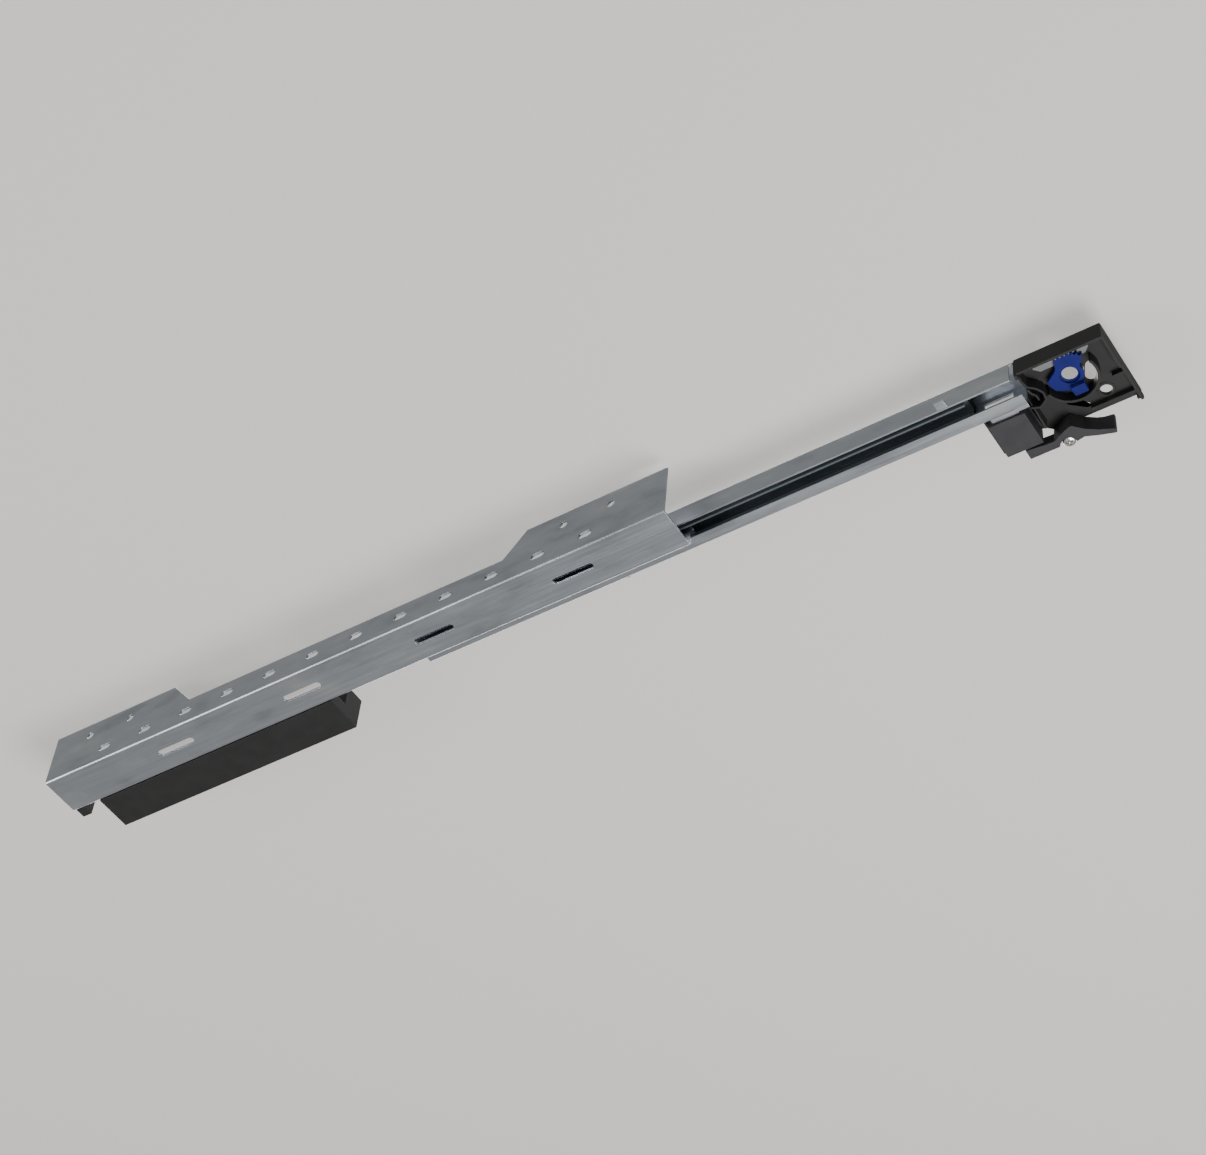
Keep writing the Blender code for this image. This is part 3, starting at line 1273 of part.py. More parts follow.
cabinet_member()
rear_buffer()
intermediate_member()
intermediate_stop()
lower_carriage()
upper_carriage()
drawer_member()
hook_pin()
lock_housing()
height_dial()
height_rack()
latch_block()
latch_bolt()
latch_spring()
release_lever()
pivot_screw()
damper_housing()
damper_rivets()
damper_cylinder()
soft_close_catch()
piston_rod()
closing_spring()
catch_peg()
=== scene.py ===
# %% [markdown]
# # An undermount drawer slide
# A drawer slide carries a drawer from below. Three steel members run in each other on rollers, and a
# plastic locking device at the front holds the drawer to them. The shapes and the motion come packed as
# a frame. This script dresses them: it rounds their edges, smooths what was turned on a lathe, and gives
# each material its grain, plating and gloss.

# %% Load the frame
import json
import math

import bmesh
import bpy
from mathutils import Matrix, Vector


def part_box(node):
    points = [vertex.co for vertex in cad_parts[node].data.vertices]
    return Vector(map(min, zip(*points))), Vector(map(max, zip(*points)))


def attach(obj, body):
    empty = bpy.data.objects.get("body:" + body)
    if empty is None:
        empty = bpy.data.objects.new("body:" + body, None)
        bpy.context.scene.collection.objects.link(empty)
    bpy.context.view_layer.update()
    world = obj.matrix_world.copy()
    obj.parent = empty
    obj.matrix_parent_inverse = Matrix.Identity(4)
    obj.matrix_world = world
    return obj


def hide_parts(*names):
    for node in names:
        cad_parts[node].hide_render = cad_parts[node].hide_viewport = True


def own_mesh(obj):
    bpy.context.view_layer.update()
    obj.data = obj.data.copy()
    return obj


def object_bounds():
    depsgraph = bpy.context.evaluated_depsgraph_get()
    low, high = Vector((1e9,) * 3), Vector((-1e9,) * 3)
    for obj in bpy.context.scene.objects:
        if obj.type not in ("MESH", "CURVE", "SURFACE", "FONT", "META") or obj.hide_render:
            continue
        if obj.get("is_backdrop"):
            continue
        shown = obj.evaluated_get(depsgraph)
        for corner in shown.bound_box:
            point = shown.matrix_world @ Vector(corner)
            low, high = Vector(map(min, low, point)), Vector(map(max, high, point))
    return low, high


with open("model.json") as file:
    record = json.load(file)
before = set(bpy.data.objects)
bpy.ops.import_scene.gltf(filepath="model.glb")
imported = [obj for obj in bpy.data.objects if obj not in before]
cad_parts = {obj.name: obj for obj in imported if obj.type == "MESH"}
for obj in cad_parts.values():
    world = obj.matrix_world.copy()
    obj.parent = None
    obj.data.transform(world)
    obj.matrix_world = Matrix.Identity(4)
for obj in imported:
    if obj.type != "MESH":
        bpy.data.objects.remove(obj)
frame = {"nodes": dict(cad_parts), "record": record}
MM = 0.001
cad_box = [list(corner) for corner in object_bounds()]
slots = {part["node"]: part["material_slot"] for part in frame["record"]["subparts"]}
print("box, mm:", [[round(value / MM, 1) for value in corner] for corner in cad_box])

# %% [markdown]
# ## Camera
# A slide under a drawer is seen from below, so the camera stands low in front of it and looks up. A long
# lens from a metre and a half away keeps the far end nearly as large as the near one. The camera could be
# turned by angles. Here it gets a place, a point to look at and an up direction instead, because those
# three can be read off the room, and the lean that makes the rails climb to the front comes with them.

# %% Camera
CAMERA_PLACE = Vector((0.609, -0.788, -1.154))
CAMERA_UP = Vector((0.355, -0.641, 0.680))
LENS = 81
SENSOR_WIDTH = 36
AIM_SHIFT = 30 * MM  # towards the locking device, which is what there is most to see of
low, high = (Vector(corner) for corner in cad_box)
middle = (low + high) / 2
aim = middle + Vector((AIM_SHIFT, 0, 0))
camera = bpy.data.objects.new("camera", bpy.data.cameras.new("camera"))
bpy.context.scene.collection.objects.link(camera)
bpy.context.scene.camera = camera
ahead = (aim - CAMERA_PLACE).normalized()
right = ahead.cross(CAMERA_UP).normalized()
up = right.cross(ahead)
camera.matrix_world = Matrix.Translation(CAMERA_PLACE) @ Matrix((right, up, -ahead)).transposed().to_4x4()
camera.data.lens = LENS
camera.data.sensor_width = SENSOR_WIDTH
print("camera", round((aim - CAMERA_PLACE).length, 2), "m away, looks up by",
      round(math.degrees(math.asin(ahead.z))), "degrees")

# %% [markdown]
# ## Light and backdrop
# The light is soft and plain: a pale world all round, one broad lamp below the slide towards the room,
# and others to the left, behind and above, so that no side is left dark. The world is brighter for the
# camera than for the slide, so the backdrop is pale and the metal isn't washed out. Two pale sheets stand
# for the drawer bottom above and the floor below. One floor would hide the slide from half of the places
# that it can be looked at from, so each sheet is clear from its back, and only the camera sees it: it
# catches the slide's shadow and never blocks a lamp.

# %% Light and backdrop
WORLD_COLOUR = (0.86, 0.85, 0.83)
WORLD_LIGHT = 0.42  # strength for the slide
WORLD_SEEN = 1.0  # strength for the camera
world = bpy.data.worlds.new("soft_room")
world.use_nodes = True
bpy.context.scene.world = world
nodes = world.node_tree.nodes
links = world.node_tree.links
background = nodes["Background"]
background.inputs["Color"].default_value = (*WORLD_COLOUR, 1)
path = nodes.new("ShaderNodeLightPath")
seen = nodes.new("ShaderNodeMath")
seen.operation = "MAXIMUM"
links.new(path.outputs["Is Camera Ray"], seen.inputs[0])
links.new(path.outputs["Is Transmission Ray"], seen.inputs[1])
strength = nodes.new("ShaderNodeMapRange")
strength.inputs["To Min"].default_value = WORLD_LIGHT
strength.inputs["To Max"].default_value = WORLD_SEEN
links.new(seen.outputs[0], strength.inputs["Value"])
links.new(strength.outputs["Result"], background.inputs["Strength"])


def lamp(name, place, target, size, power):
    """A square soft lamp at a place, turned towards a target."""
    light = bpy.data.lights.new(name, "AREA")
    light.shape = "SQUARE"
    light.size = size
    light.energy = power
    thing = bpy.data.objects.new(name, light)
    bpy.context.scene.collection.objects.link(thing)
    thing.location = place
    thing.rotation_euler = (target - place).to_track_quat("-Z", "Y").to_euler()


LAMPS = [  # name, place from the slide's middle in metres, size in metres, watts
    ("room_lamp", (0.75, 0.35, -1.5), 0.9, 26),
    ("left_lamp", (-1.1, -0.9, -0.9), 0.8, 9),
    ("top_lamp", (-0.3, 0.6, 1.7), 1.2, 30),
    ("back_lamp", (-0.9, 1.5, 0.5), 1.0, 12),
]
for name, offset, size, watts in LAMPS:
    lamp(name, middle + Vector(offset), middle, size, watts)
print(len(LAMPS), "lamps,", sum(watts for name, offset, size, watts in LAMPS), "W together")

# %% [markdown]
# A sheet's material is a matt paint. Light Path and Backfacing decide what shows of it: from its face the
# camera sees the paint, of which half glows by itself, so that the small holes stay bright where the
# slide shades the sheet behind them. From its back it is clear.

# %% Sheets above and below
SHEET_COLOUR = (0.87, 0.85, 0.82)
SHEET_GLOW = 0.5  # share of the colour that needs no light
SHEET_SIZE = 6  # metres from the middle to the edge
SHEET_GAP = 1 * MM  # sheet to the slide


def sheet(name, height, facing):
    """A pale stage sheet that only the camera sees, and only from the side it faces."""
    work = bmesh.new()
    bmesh.ops.create_grid(work, x_segments=1, y_segments=1, size=SHEET_SIZE)
    bmesh.ops.translate(work, vec=(0, 0, height), verts=work.verts)
    if facing < 0:
        bmesh.ops.reverse_faces(work, faces=work.faces)
    mesh = bpy.data.meshes.new(name)
    work.to_mesh(mesh)
    work.free()
    material = bpy.data.materials.new(name)
    material.use_nodes = True
    shader = material.node_tree.nodes["Principled BSDF"]
    lit_share = [(1 - SHEET_GLOW) * value for value in SHEET_COLOUR]
    shader.inputs["Base Color"].default_value = (*lit_share, 1)
    shader.inputs["Roughness"].default_value = 0.9
    shader.inputs["Specular IOR Level"].default_value = 0.1
    shader.inputs["Emission Color"].default_value = (*SHEET_COLOUR, 1)
    seen = material.node_tree.nodes.new("ShaderNodeLightPath")
    glow = material.node_tree.nodes.new("ShaderNodeMath")
    glow.operation = "MULTIPLY"
    glow.inputs[1].default_value = SHEET_GLOW
    material.node_tree.links.new(seen.outputs["Is Camera Ray"], glow.inputs[0])
    material.node_tree.links.new(glow.outputs[0], shader.inputs["Emission Strength"])
    clear = material.node_tree.nodes.new("ShaderNodeBsdfTransparent")
    side = material.node_tree.nodes.new("ShaderNodeNewGeometry")
    mix = material.node_tree.nodes.new("ShaderNodeMixShader")
    output = material.node_tree.nodes["Material Output"]
    material.node_tree.links.new(side.outputs["Backfacing"], mix.inputs["Fac"])
    material.node_tree.links.new(shader.outputs[0], mix.inputs[1])
    material.node_tree.links.new(clear.outputs[0], mix.inputs[2])
    material.node_tree.links.new(mix.outputs[0], output.inputs["Surface"])
    mesh.materials.append(material)
    thing = bpy.data.objects.new(name, mesh)
    bpy.context.scene.collection.objects.link(thing)
    thing.visible_diffuse = False
    thing.visible_glossy = False
    thing.visible_transmission = False
    thing.visible_shadow = False
    thing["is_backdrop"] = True
    print(name, "at", round(height / MM, 1), "mm")


sheet("backdrop_above", high.z + SHEET_GAP, -1)
sheet("floor_below", low.z - SHEET_GAP, 1)

# %% [markdown]
# ## Materials
# No real surface is one flat colour: steel shows its rolling, plating its clouds, plastic the skin of its
# mould. A picture could be wrapped round each piece, but noise needs no unwrapping and stays sharp close
# up. So every finish starts from the same small helpers. A noise runs in the piece's own coordinates, and
# can be drawn out along the slide. Then it shades the colour between tones, moves the roughness, or raises
# a fine bump of a real height.

# %% Material helpers
def noise(material, scale, stretch=(1, 1, 1), detail=4, roughness=0.55, seed=0.0):
    """A noise in the piece's own coordinates; scale is bumps per metre, stretch thins it on an axis."""
    tree = material.node_tree
    place = tree.nodes.new("ShaderNodeTexCoord")
    mapping = tree.nodes.new("ShaderNodeMapping")
    mapping.inputs["Scale"].default_value = stretch
    mapping.inputs["Location"].default_value = (seed, seed * 1.7, seed * 0.6)
    texture = tree.nodes.new("ShaderNodeTexNoise")
    texture.inputs["Scale"].default_value = scale
    texture.inputs["Detail"].default_value = detail
    texture.inputs["Roughness"].default_value = roughness
    tree.links.new(place.outputs["Object"], mapping.inputs["Vector"])
    tree.links.new(mapping.outputs["Vector"], texture.inputs["Vector"])
    return texture.outputs["Fac"]


def ramp(material, value, stops):
    """A colour ramp; stops are (position, colour)."""
    node = material.node_tree.nodes.new("ShaderNodeValToRGB")
    node.color_ramp.interpolation = "EASE"
    elements = node.color_ramp.elements
    elements[0].position, elements[0].color = stops[0][0], (*stops[0][1], 1)
    elements[1].position, elements[1].color = stops[-1][0], (*stops[-1][1], 1)
    for position, colour in stops[1:-1]:
        elements.new(position).color = (*colour, 1)
    material.node_tree.links.new(value, node.inputs["Fac"])
    return node.outputs["Color"]


NOISE_LOW = 0.3  # nearly all of a noise lies between these two
NOISE_HIGH = 0.7


def spread(material, value, low_value, high_value):
    """A noise mapped to a range."""
    node = material.node_tree.nodes.new("ShaderNodeMapRange")
    node.inputs["From Min"].default_value = NOISE_LOW
    node.inputs["From Max"].default_value = NOISE_HIGH
    node.inputs["To Min"].default_value = low_value
    node.inputs["To Max"].default_value = high_value
    material.node_tree.links.new(value, node.inputs["Value"])
    return node.outputs["Result"]


def bump(material, value, height, strength, under=None):
    """A bump of a real height in metres, on top of another one."""
    node = material.node_tree.nodes.new("ShaderNodeBump")
    node.inputs["Strength"].default_value = strength
    node.inputs["Distance"].default_value = height
    material.node_tree.links.new(value, node.inputs["Height"])
    if under is not None:
        material.node_tree.links.new(under, node.inputs["Normal"])
    return node.outputs["Normal"]


materials = {}


def blank(name):
    """A new material, kept under the name of the slot that it is for."""
    material = bpy.data.materials.new(name)
    material.use_nodes = True
    materials[name] = material
    return material


def join_finish(material, metallic, colour, roughness, normal, specular=0.5):
    """Joins what the noises made to the material's shader."""
    shader = material.node_tree.nodes["Principled BSDF"]
    shader.inputs["Metallic"].default_value = metallic
    shader.inputs["Specular IOR Level"].default_value = specular
    material.node_tree.links.new(colour, shader.inputs["Base Color"])
    material.node_tree.links.new(roughness, shader.inputs["Roughness"])
    material.node_tree.links.new(normal, shader.inputs["Normal"])
    print(material.name, "with", len(material.node_tree.nodes), "nodes")


# %% [markdown]
# ## Steel
# The cabinet and drawer members are cold-rolled strip, zinc plated. The plating is satin and slightly
# blue, with cloudy patches a few centimetres long and hair-fine lines along the strip. The member
# between them gets much darker tones and is only partly a metal: that dark is painted shade, for the
# deep channel that it lies in. Both come from one function, since only the tones, the gloss and that share
# differ. The lines are a noise drawn out 50 times along the strip, which is how the rolls leave them.

# %% Rolled and plated steel
def rolled_steel(name, tones, rough_low, rough_high, metallic=1.0):
    """Plated strip: lines along X, clouds, and a fine grain in the plating."""
    material = blank(name)
    lines = noise(material, 1, (18, 900, 900), 5, 0.6)  # 1 mm apart, 55 mm long
    clouds = noise(material, 1, (22, 60, 60), 4, 0.6, 3.0)  # 17 mm across, 45 mm long
    grain = noise(material, 5200, detail=2)  # 0.2 mm
    colour = ramp(material, clouds, [(0.3, tones[0]), (0.5, tones[1]), (0.72, tones[2])])
    normal = bump(material, lines, 0.012 * MM, 0.5)
    normal = bump(material, grain, 0.006 * MM, 0.35, normal)
    join_finish(material, metallic, colour, spread(material, lines, rough_low, rough_high), normal)


rolled_steel("zinc_steel", [(0.40, 0.43, 0.47), (0.50, 0.53, 0.57), (0.58, 0.61, 0.64)], 0.30, 0.46)
# dark_steel, the middle member: its tones are painted dark as shade for its deep channel, and it is only
# partly metallic
rolled_steel(
    "dark_steel", [(0.080, 0.100, 0.115), (0.100, 0.122, 0.138), (0.122, 0.147, 0.162)], 0.42, 0.58, 0.35
)

# %% [markdown]
# The screw, the rivets, the rod and the damper's tube are bright nickel over steel, and the springs are
# bare wire. A lathe or a die leaves fine rings on them, so the noise is thin along the slide, which is
# the axis of the long ones, and the gloss changes little.

# %% Bright steel and spring wire
def bright_steel(name, tones, scale):
    """Turned or drawn steel, with rings round the X axis."""
    material = blank(name)
    turning = noise(material, scale, (6, 0.6, 0.6), 3)  # a tenth as long along X as across
    colour = ramp(material, turning, [(0.35, tones[0]), (0.65, tones[1])])
    normal = bump(material, noise(material, 7000, detail=2), 0.002 * MM, 0.4)
    join_finish(material, 1.0, colour, spread(material, turning, 0.18, 0.26), normal)


bright_steel("bright_steel", [(0.66, 0.645, 0.615), (0.75, 0.735, 0.705)], 500)
bright_steel("spring_steel", [(0.30, 0.30, 0.31), (0.44, 0.44, 0.45)], 2500)

# %% [markdown]
# ## Moulded plastic
# The locking device, the lever and the dial are injection moulded. Their skin has the fine spark-eroded
# texture of the mould, a little flow shading that runs for some millimetres, and a sheen that is
# duller where the texture is deeper. A fine bump alone would do for the skin, but driving the roughness
# by the same noise is what makes it look like plastic and not like cast iron.

# %% Moulded plastic
SKIN_DEPTH = 0.012 * MM


def moulded(name, dark, light, rough_low, rough_high, specular=0.5):
    """Moulded plastic between two tones, with an eroded skin."""
    material = blank(name)
    skin = noise(material, 2600, detail=3, roughness=0.6)  # 0.4 mm
    flow = noise(material, 95, (1, 1, 0.6), 3, 0.5, 5.0)  # 10 mm
    colour = ramp(material, flow, [(0.3, dark), (0.7, light)])
    normal = bump(material, skin, SKIN_DEPTH, 0.6)
    join_finish(material, 0.0, colour, spread(material, skin, rough_low, rough_high), normal, specular)


moulded("charcoal_plastic", (0.0145, 0.0140, 0.0140), (0.0190, 0.0184, 0.0184), 0.45, 0.62, 0.42)
moulded("grey_black_plastic", (0.030, 0.029, 0.032), (0.038, 0.037, 0.041), 0.5, 0.66, 0.42)
moulded("blue_plastic", (0.0055, 0.0080, 0.125), (0.0080, 0.0115, 0.160), 0.38, 0.54, 0.22)
moulded("light_grey_plastic", (0.17, 0.175, 0.185), (0.21, 0.216, 0.228), 0.42, 0.56)
moulded("white_plastic", (0.62, 0.61, 0.56), (0.72, 0.71, 0.67), 0.32, 0.46)

# %% [markdown]
# ## Rounded copies
# The frame's solids have knife-sharp edges, and no stamped or moulded piece has those: they catch no
# light. A bevel modifier on the solid would work, but its mesh is loose triangles, each with its own
# corners. So a copy is taken first, its doubles are merged, and its flat faces are made whole again.
# Then every edge that turns by more than 28 degrees gets a narrow bevel, and the rest is shaded smooth.
# Weighted normals keep the broad flat faces flat up to the bevel. Where two bevels meet at a thin corner
# they can run past the solid, so what is past its box is put back on it.

# %% Helper for rounded copies
SHARP = math.radians(28)
FLAT = math.radians(0.5)
SAME_POINT = 0.003 * MM
body_of = {node: body for body, nodes in frame["record"]["behaviour"]["bodies"].items() for node in nodes}


def joined_copy(node, merge=SAME_POINT):
    """The node's surface as a bmesh, with its triangles joined and its flat faces whole."""
    work = bmesh.new()
    work.from_mesh(frame["nodes"][node].data)
    bmesh.ops.remove_doubles(work, verts=work.verts, dist=merge)
    bmesh.ops.dissolve_limit(work, angle_limit=FLAT, verts=work.verts, edges=work.edges)
    return work


def add_piece(name, work, node):
    """Makes a bmesh a smooth-shaded piece that stands for a node, with its body and finish."""
    mesh = bpy.data.meshes.new(name)
    work.to_mesh(mesh)
    work.free()
    mesh.shade_smooth()
    mesh.materials.append(materials[slots[node]])
    piece = bpy.data.objects.new(name, mesh)
    bpy.context.scene.collection.objects.link(piece)
    normals = piece.modifiers.new("flat_faces", "WEIGHTED_NORMAL")
    normals.keep_sharp = True
    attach(piece, body_of[node])
    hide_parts(node)
    return piece


def rounded_copy(name, node, width, segments=2, work=None):
    """A copy of a node whose sharp edges are rounded, kept inside the node's own box."""
    work = work or joined_copy(node)
    edges = [edge for edge in work.edges if edge.is_manifold and edge.calc_face_angle() > SHARP]
    bmesh.ops.bevel(
        work, geom=edges, offset=width, offset_type="OFFSET", segments=segments, profile=0.5,
        affect="EDGES", clamp_overlap=False, material=-1,
    )
    low_corner, high_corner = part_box(node)
    for vert in work.verts:
        for axis in range(3):
            vert.co[axis] = min(max(vert.co[axis], low_corner[axis]), high_corner[axis])
    print(name, "from", node, len(work.faces), "faces")
    return add_piece(name, work, node)


# %% [markdown]
# ## The three rails
# Each rail is rolled from strip and punched. The bends are in the solid already, since they are part of
# the section. Shearing and punching leave an edge that is only just broken, so here the bevel is narrow,
# about a tenth of the sheet. The buffer at the wall rail's end and the stop inside the middle rail are
# plastic, and much rounder.

# %% Rails
rounded_copy("wall_rail", "cabinet_member", 0.16 * MM)
rounded_copy("middle_rail", "intermediate_member", 0.14 * MM)
rounded_copy("drawer_rail", "drawer_member", 0.14 * MM)
rounded_copy("peg_bracket", "catch_peg", 0.2 * MM)
rounded_copy("rail_buffer", "rear_buffer", 0.6 * MM, segments=3)
rounded_copy("rail_stop", "intermediate_stop", 0.5 * MM, segments=3)

# %% [markdown]
# ## Locking device
# This is the plastic corner that holds the drawer to the slide. Moulded pieces need rounder edges than
# sheet does, or they would not leave the mould, but the thin ribs of the lock body have room for a small
# radius only. The dial is the blue fan that raises the drawer's front, and its teeth stay crisp, because
# they have to mesh with those of the slide beside it.

# %% Locking device
rounded_copy("lock_body", "lock_housing", 0.16 * MM)
rounded_copy("dial_fan", "height_dial", 0.16 * MM)
rounded_copy("toothed_slide", "height_rack", 0.12 * MM)

# %% [markdown]
# The release lever is shaped like a gull's wing, and a finger pulls its front tip, which sweeps up to give
# it a hold. The solid has a plain step there. A loft could draw the sweep, but the lever is already
# right elsewhere, so its tip is cut across in two places and the corners beyond the step are moved to
# lie on a ramp. A wide bevel then makes it kind to the finger.

# %% Release lever
WING_RISE = 2.0 * MM
WING_RAMP = 5.2 * MM
LEVER_MERGE = 0.12 * MM  # the ramp's start falls within this of the step
TOUCH = 0.01 * MM
lever = joined_copy("release_lever", merge=LEVER_MERGE)
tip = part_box("release_lever")[1]
ramp_start = tip.x - WING_RAMP
for place in (ramp_start, tip.x - WING_RAMP / 2):
    bmesh.ops.bisect_plane(
        lever, geom=lever.verts[:] + lever.edges[:] + lever.faces[:], dist=TOUCH,
        plane_co=(place, 0, 0), plane_no=(1, 0, 0),
    )
raised = 0
for vert in lever.verts:
    if vert.co.x > ramp_start and vert.co.z > tip.z - WING_RISE - TOUCH:
        share = (vert.co.x - ramp_start) / WING_RAMP
        vert.co.z = tip.z - WING_RISE * (1 - share)
        raised += 1
bmesh.ops.remove_doubles(lever, verts=lever.verts, dist=LEVER_MERGE)
bmesh.ops.dissolve_limit(lever, angle_limit=FLAT, verts=lever.verts, edges=lever.edges)
print("wing ramp moves", raised, "corners")
rounded_copy("lever_wing", "release_lever", 0.35 * MM, work=lever, segments=3)

# %% [markdown]
# The latch is a square cap with a bolt that enters a window of the drawer rail. The cap is pushed by the
# lever and rubs on the rail, so its edges are well rounded. The lever turns on a steel screw, whose cross
# recess is in the solid, and a screw's edges are only broken.

# %% Latch and pivot screw
rounded_copy("latch_cap", "latch_block", 0.3 * MM, segments=3)
rounded_copy("latch_nose", "latch_bolt", 0.3 * MM)
rounded_copy("cross_head_screw", "pivot_screw", 0.12 * MM)

# %% [markdown]
# ## Carriages and soft-close unit
# A roller carriage is a strip of plastic that keeps four rollers apart as they run, and the soft-close
# unit is a case with a spring and an oil damper, which draws the last part of the way home by its catch.
# All of these are moulded. Their solids are plain prisms with pockets, so a rounded copy is all they need,
# and rounder for the case and the catch, which are thick.

# %% Carriages and soft-close unit
rounded_copy("lower_carriage_cage", "lower_cage", 0.25 * MM)
rounded_copy("upper_carriage_cage", "upper_cage", 0.25 * MM)
rounded_copy("damper_case", "damper_housing", 0.4 * MM, segments=3)
rounded_copy("closing_catch", "soft_close_catch", 0.3 * MM, segments=3)

# %% [markdown]
# ## Turned pieces
# Rollers, rivets, the rod and the cylinder come off a lathe, or out of a round mould, so they are made
# the same way here: half of the section is drawn once, and a spin turns it round the axis. A copy of the
# solid would show its flats, and 64 steps show none.

# %% Helper for turned pieces
AXES = {"X": Matrix.Rotation(math.pi / 2, 3, "Y"), "Y": Matrix.Rotation(-math.pi / 2, 3, "X")}
RIM_SHARP = math.radians(35)
RIM_ROUND = 0.06 * MM


def turned_piece(name, node, axis, section, steps=64):
    """Spins a section of (radius, distance along the axis from the node's low end) about the node's axis."""
    low_corner, high_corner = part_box(node)
    place = (low_corner + high_corner) / 2
    index = "XYZ".index(axis)
    place[index] = low_corner[index]
    work = bmesh.new()
    row = [work.verts.new((radius, 0, along)) for radius, along in section]
    for near, far in zip(row, row[1:]):
        work.edges.new((near, far))
    bmesh.ops.spin(
        work, geom=work.verts[:] + work.edges[:], cent=(0, 0, 0), axis=(0, 0, 1),
        angle=2 * math.pi, steps=steps, use_merge=True, use_duplicate=False,
    )
    bmesh.ops.remove_doubles(work, verts=work.verts, dist=SAME_POINT)
    bmesh.ops.recalc_face_normals(work, faces=work.faces)
    bmesh.ops.transform(work, matrix=AXES[axis].to_4x4(), verts=work.verts)
    bmesh.ops.translate(work, vec=place, verts=work.verts)
    edges = [edge for edge in work.edges if edge.is_manifold and edge.calc_face_angle() > RIM_SHARP]
    bmesh.ops.bevel(
        work, geom=edges, offset=RIM_ROUND, offset_type="OFFSET", segments=2, profile=0.5,
        affect="EDGES", clamp_overlap=True, material=-1,
    )
    print(name, "from", node, len(work.faces), "faces")
    return add_piece(name, work, node)


def size_along(node, axis):
    """(length along the axis, widest radius across it) of a turned node."""
    low_corner, high_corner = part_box(node)
    extent = high_corner - low_corner
    index = "XYZ".index(axis)
    across = [extent[other] for other in range(3) if other != index]
    return extent[index], max(across) / 2


# %% [markdown]
# A roller is a barrel with a thin pin at each end, which turns in the cage. Its rims are broken so that
# they don't dig into the track. All eight are one section, so a loop makes them.

# %% Rollers
PIN_RADIUS = 0.8 * MM
PIN_LENGTH = 1.1 * MM
RIM = 0.4 * MM
for kind in ("lower", "upper"):
    for number in range(1, 5):
        node = f"{kind}_roller_{number}"
        length, radius = size_along(node, "Y")
        barrel_end = length - PIN_LENGTH
        turned_piece(
            f"{kind}_barrel_{number}", node, "Y",
            [
                (0, 0), (PIN_RADIUS, 0), (PIN_RADIUS, PIN_LENGTH), (radius - RIM, PIN_LENGTH),
                (radius, PIN_LENGTH + RIM), (radius, barrel_end - RIM), (radius - RIM, barrel_end),
                (PIN_RADIUS, barrel_end), (PIN_RADIUS, length), (0, length),
            ],
            steps=40,
        )

# %% [markdown]
# The rivets have low domes. The damper's cylinder is drawn from thin tube: its front end is rolled in
# over the rod's seal, which leaves a groove round it. The hook's pin tapers, to find its hole in the
# drawer's back.

# %% Rivets, damper and hook pin
RIVET_SHANK = 1.5 * MM
DOME = 1.0 * MM
DOME_SHAPE = [(0, 0), (0.4, 0.1), (0.72, 0.38), (0.93, 0.75), (1, 1)]  # shares of radius and dome
for place in ("rear", "front"):
    node = f"damper_rivet_{place}"
    length, radius = size_along(node, "Y")
    near = [(radius * across, DOME * along) for across, along in DOME_SHAPE] + [(RIVET_SHANK, DOME)]
    far = [(across, length - along) for across, along in reversed(near)]
    turned_piece(f"case_rivet_{place}", node, "Y", near + far, steps=48)

BORE = 1.4 * MM
BORE_DEPTH = 53 * MM
GROOVE = 0.3 * MM
GROOVE_BACK = 4 * MM  # from the tube's front end to the far side of the groove
GROOVE_STEP = 0.4 * MM
length, radius = size_along("damper_cylinder", "X")
turned_piece(
    "damper_tube", "damper_cylinder", "X",
    [
        (0, 0), (radius - GROOVE, 0), (radius, GROOVE), (radius, length - GROOVE_BACK),
        (radius - GROOVE, length - GROOVE_BACK + GROOVE_STEP),
        (radius - GROOVE, length - GROOVE_BACK + 2 * GROOVE_STEP),
        (radius, length - GROOVE_BACK + 3 * GROOVE_STEP),
        (radius, length - 2 * GROOVE), (radius - 2 * GROOVE, length),
        (BORE, length), (BORE, length - BORE_DEPTH), (0, length - BORE_DEPTH),
    ],
)
length, radius = size_along("piston_rod", "X")
turned_piece("damper_rod", "piston_rod", "X", [(0, 0), (radius, 0), (radius, length), (0, length)], steps=40)
PIN_TAPER = 0.35  # share of the radius
length, radius = size_along("hook_pin", "X")
taper = radius * PIN_TAPER
turned_piece(
    "drawer_back_pin", "hook_pin", "X",
    [(0, 0), (radius, 0), (radius, length - 2 * taper), (radius - taper, length), (0, length)],
)
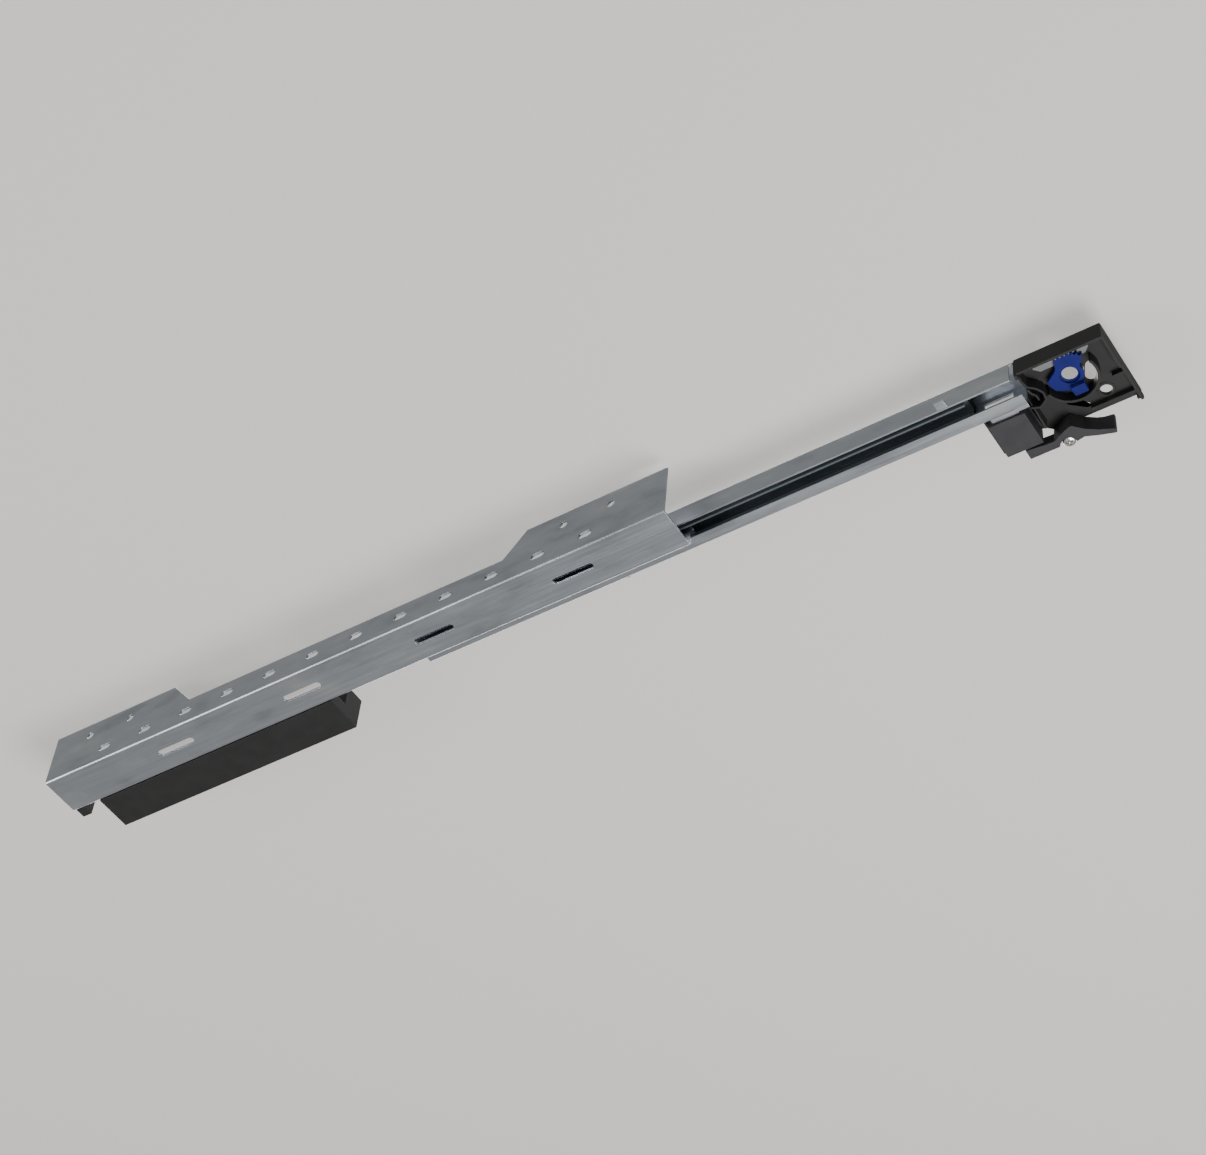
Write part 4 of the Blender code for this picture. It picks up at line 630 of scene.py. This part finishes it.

# %% [markdown]
# ## Springs
# Two coils are inside: a long one draws the catch, a short one pushes the latch out. A coil is a ring of
# wire turned and pushed along at the same time. A curve with a round bevel would do, but the spin
# operator does both at once: its dvec moves each step on. When the catch or the latch moves, its spring
# is squeezed towards the end that stays, but the piece here keeps its length.

# %% Springs
WIRE = 0.3 * MM  # half the wire's thickness
WIRE_SIDES = 10
STEPS_PER_TURN = 24


def coil_spring(name, node, axis, turns):
    """A round-wire coil between the node's two ends."""
    low_corner, high_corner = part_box(node)
    length, outside = size_along(node, axis)
    place = (low_corner + high_corner) / 2
    index = "XYZ".index(axis)
    place[index] = low_corner[index]
    steps = turns * STEPS_PER_TURN
    work = bmesh.new()
    bmesh.ops.create_circle(work, segments=WIRE_SIDES, radius=WIRE, cap_ends=False)
    bmesh.ops.rotate(work, matrix=Matrix.Rotation(math.pi / 2, 3, "X"), verts=work.verts)
    bmesh.ops.translate(work, vec=(outside - WIRE, 0, WIRE), verts=work.verts)
    bmesh.ops.spin(
        work, geom=work.verts[:] + work.edges[:], cent=(0, 0, 0), axis=(0, 0, 1),
        dvec=(0, 0, (length - 2 * WIRE) / steps), angle=2 * math.pi * turns, steps=steps,
        use_merge=False, use_duplicate=False,
    )
    bmesh.ops.holes_fill(work, edges=[edge for edge in work.edges if edge.is_boundary], sides=0)
    bmesh.ops.recalc_face_normals(work, faces=work.faces)
    bmesh.ops.transform(work, matrix=AXES[axis].to_4x4(), verts=work.verts)
    bmesh.ops.translate(work, vec=place, verts=work.verts)
    print(name, "from", node, len(work.faces), "faces,", round(length / MM, 1), "mm long")
    piece = add_piece(name, work, node)
    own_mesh(piece)


coil_spring("closing_coil", "closing_spring", "X", 56)
coil_spring("latch_coil", "latch_spring", "Y", 7)

# %% [markdown]
# ## End
# Every node now has a piece of its own that stands for it. A dressed model could quietly outgrow the one
# that was measured, so its box is printed beside the frame's.

# %% Sizes and the end
visual_box = [list(corner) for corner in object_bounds()]
for label, box in (("frame", cad_box), ("visual", visual_box)):
    print(label, [[round(value / MM, 2) for value in corner] for corner in box])
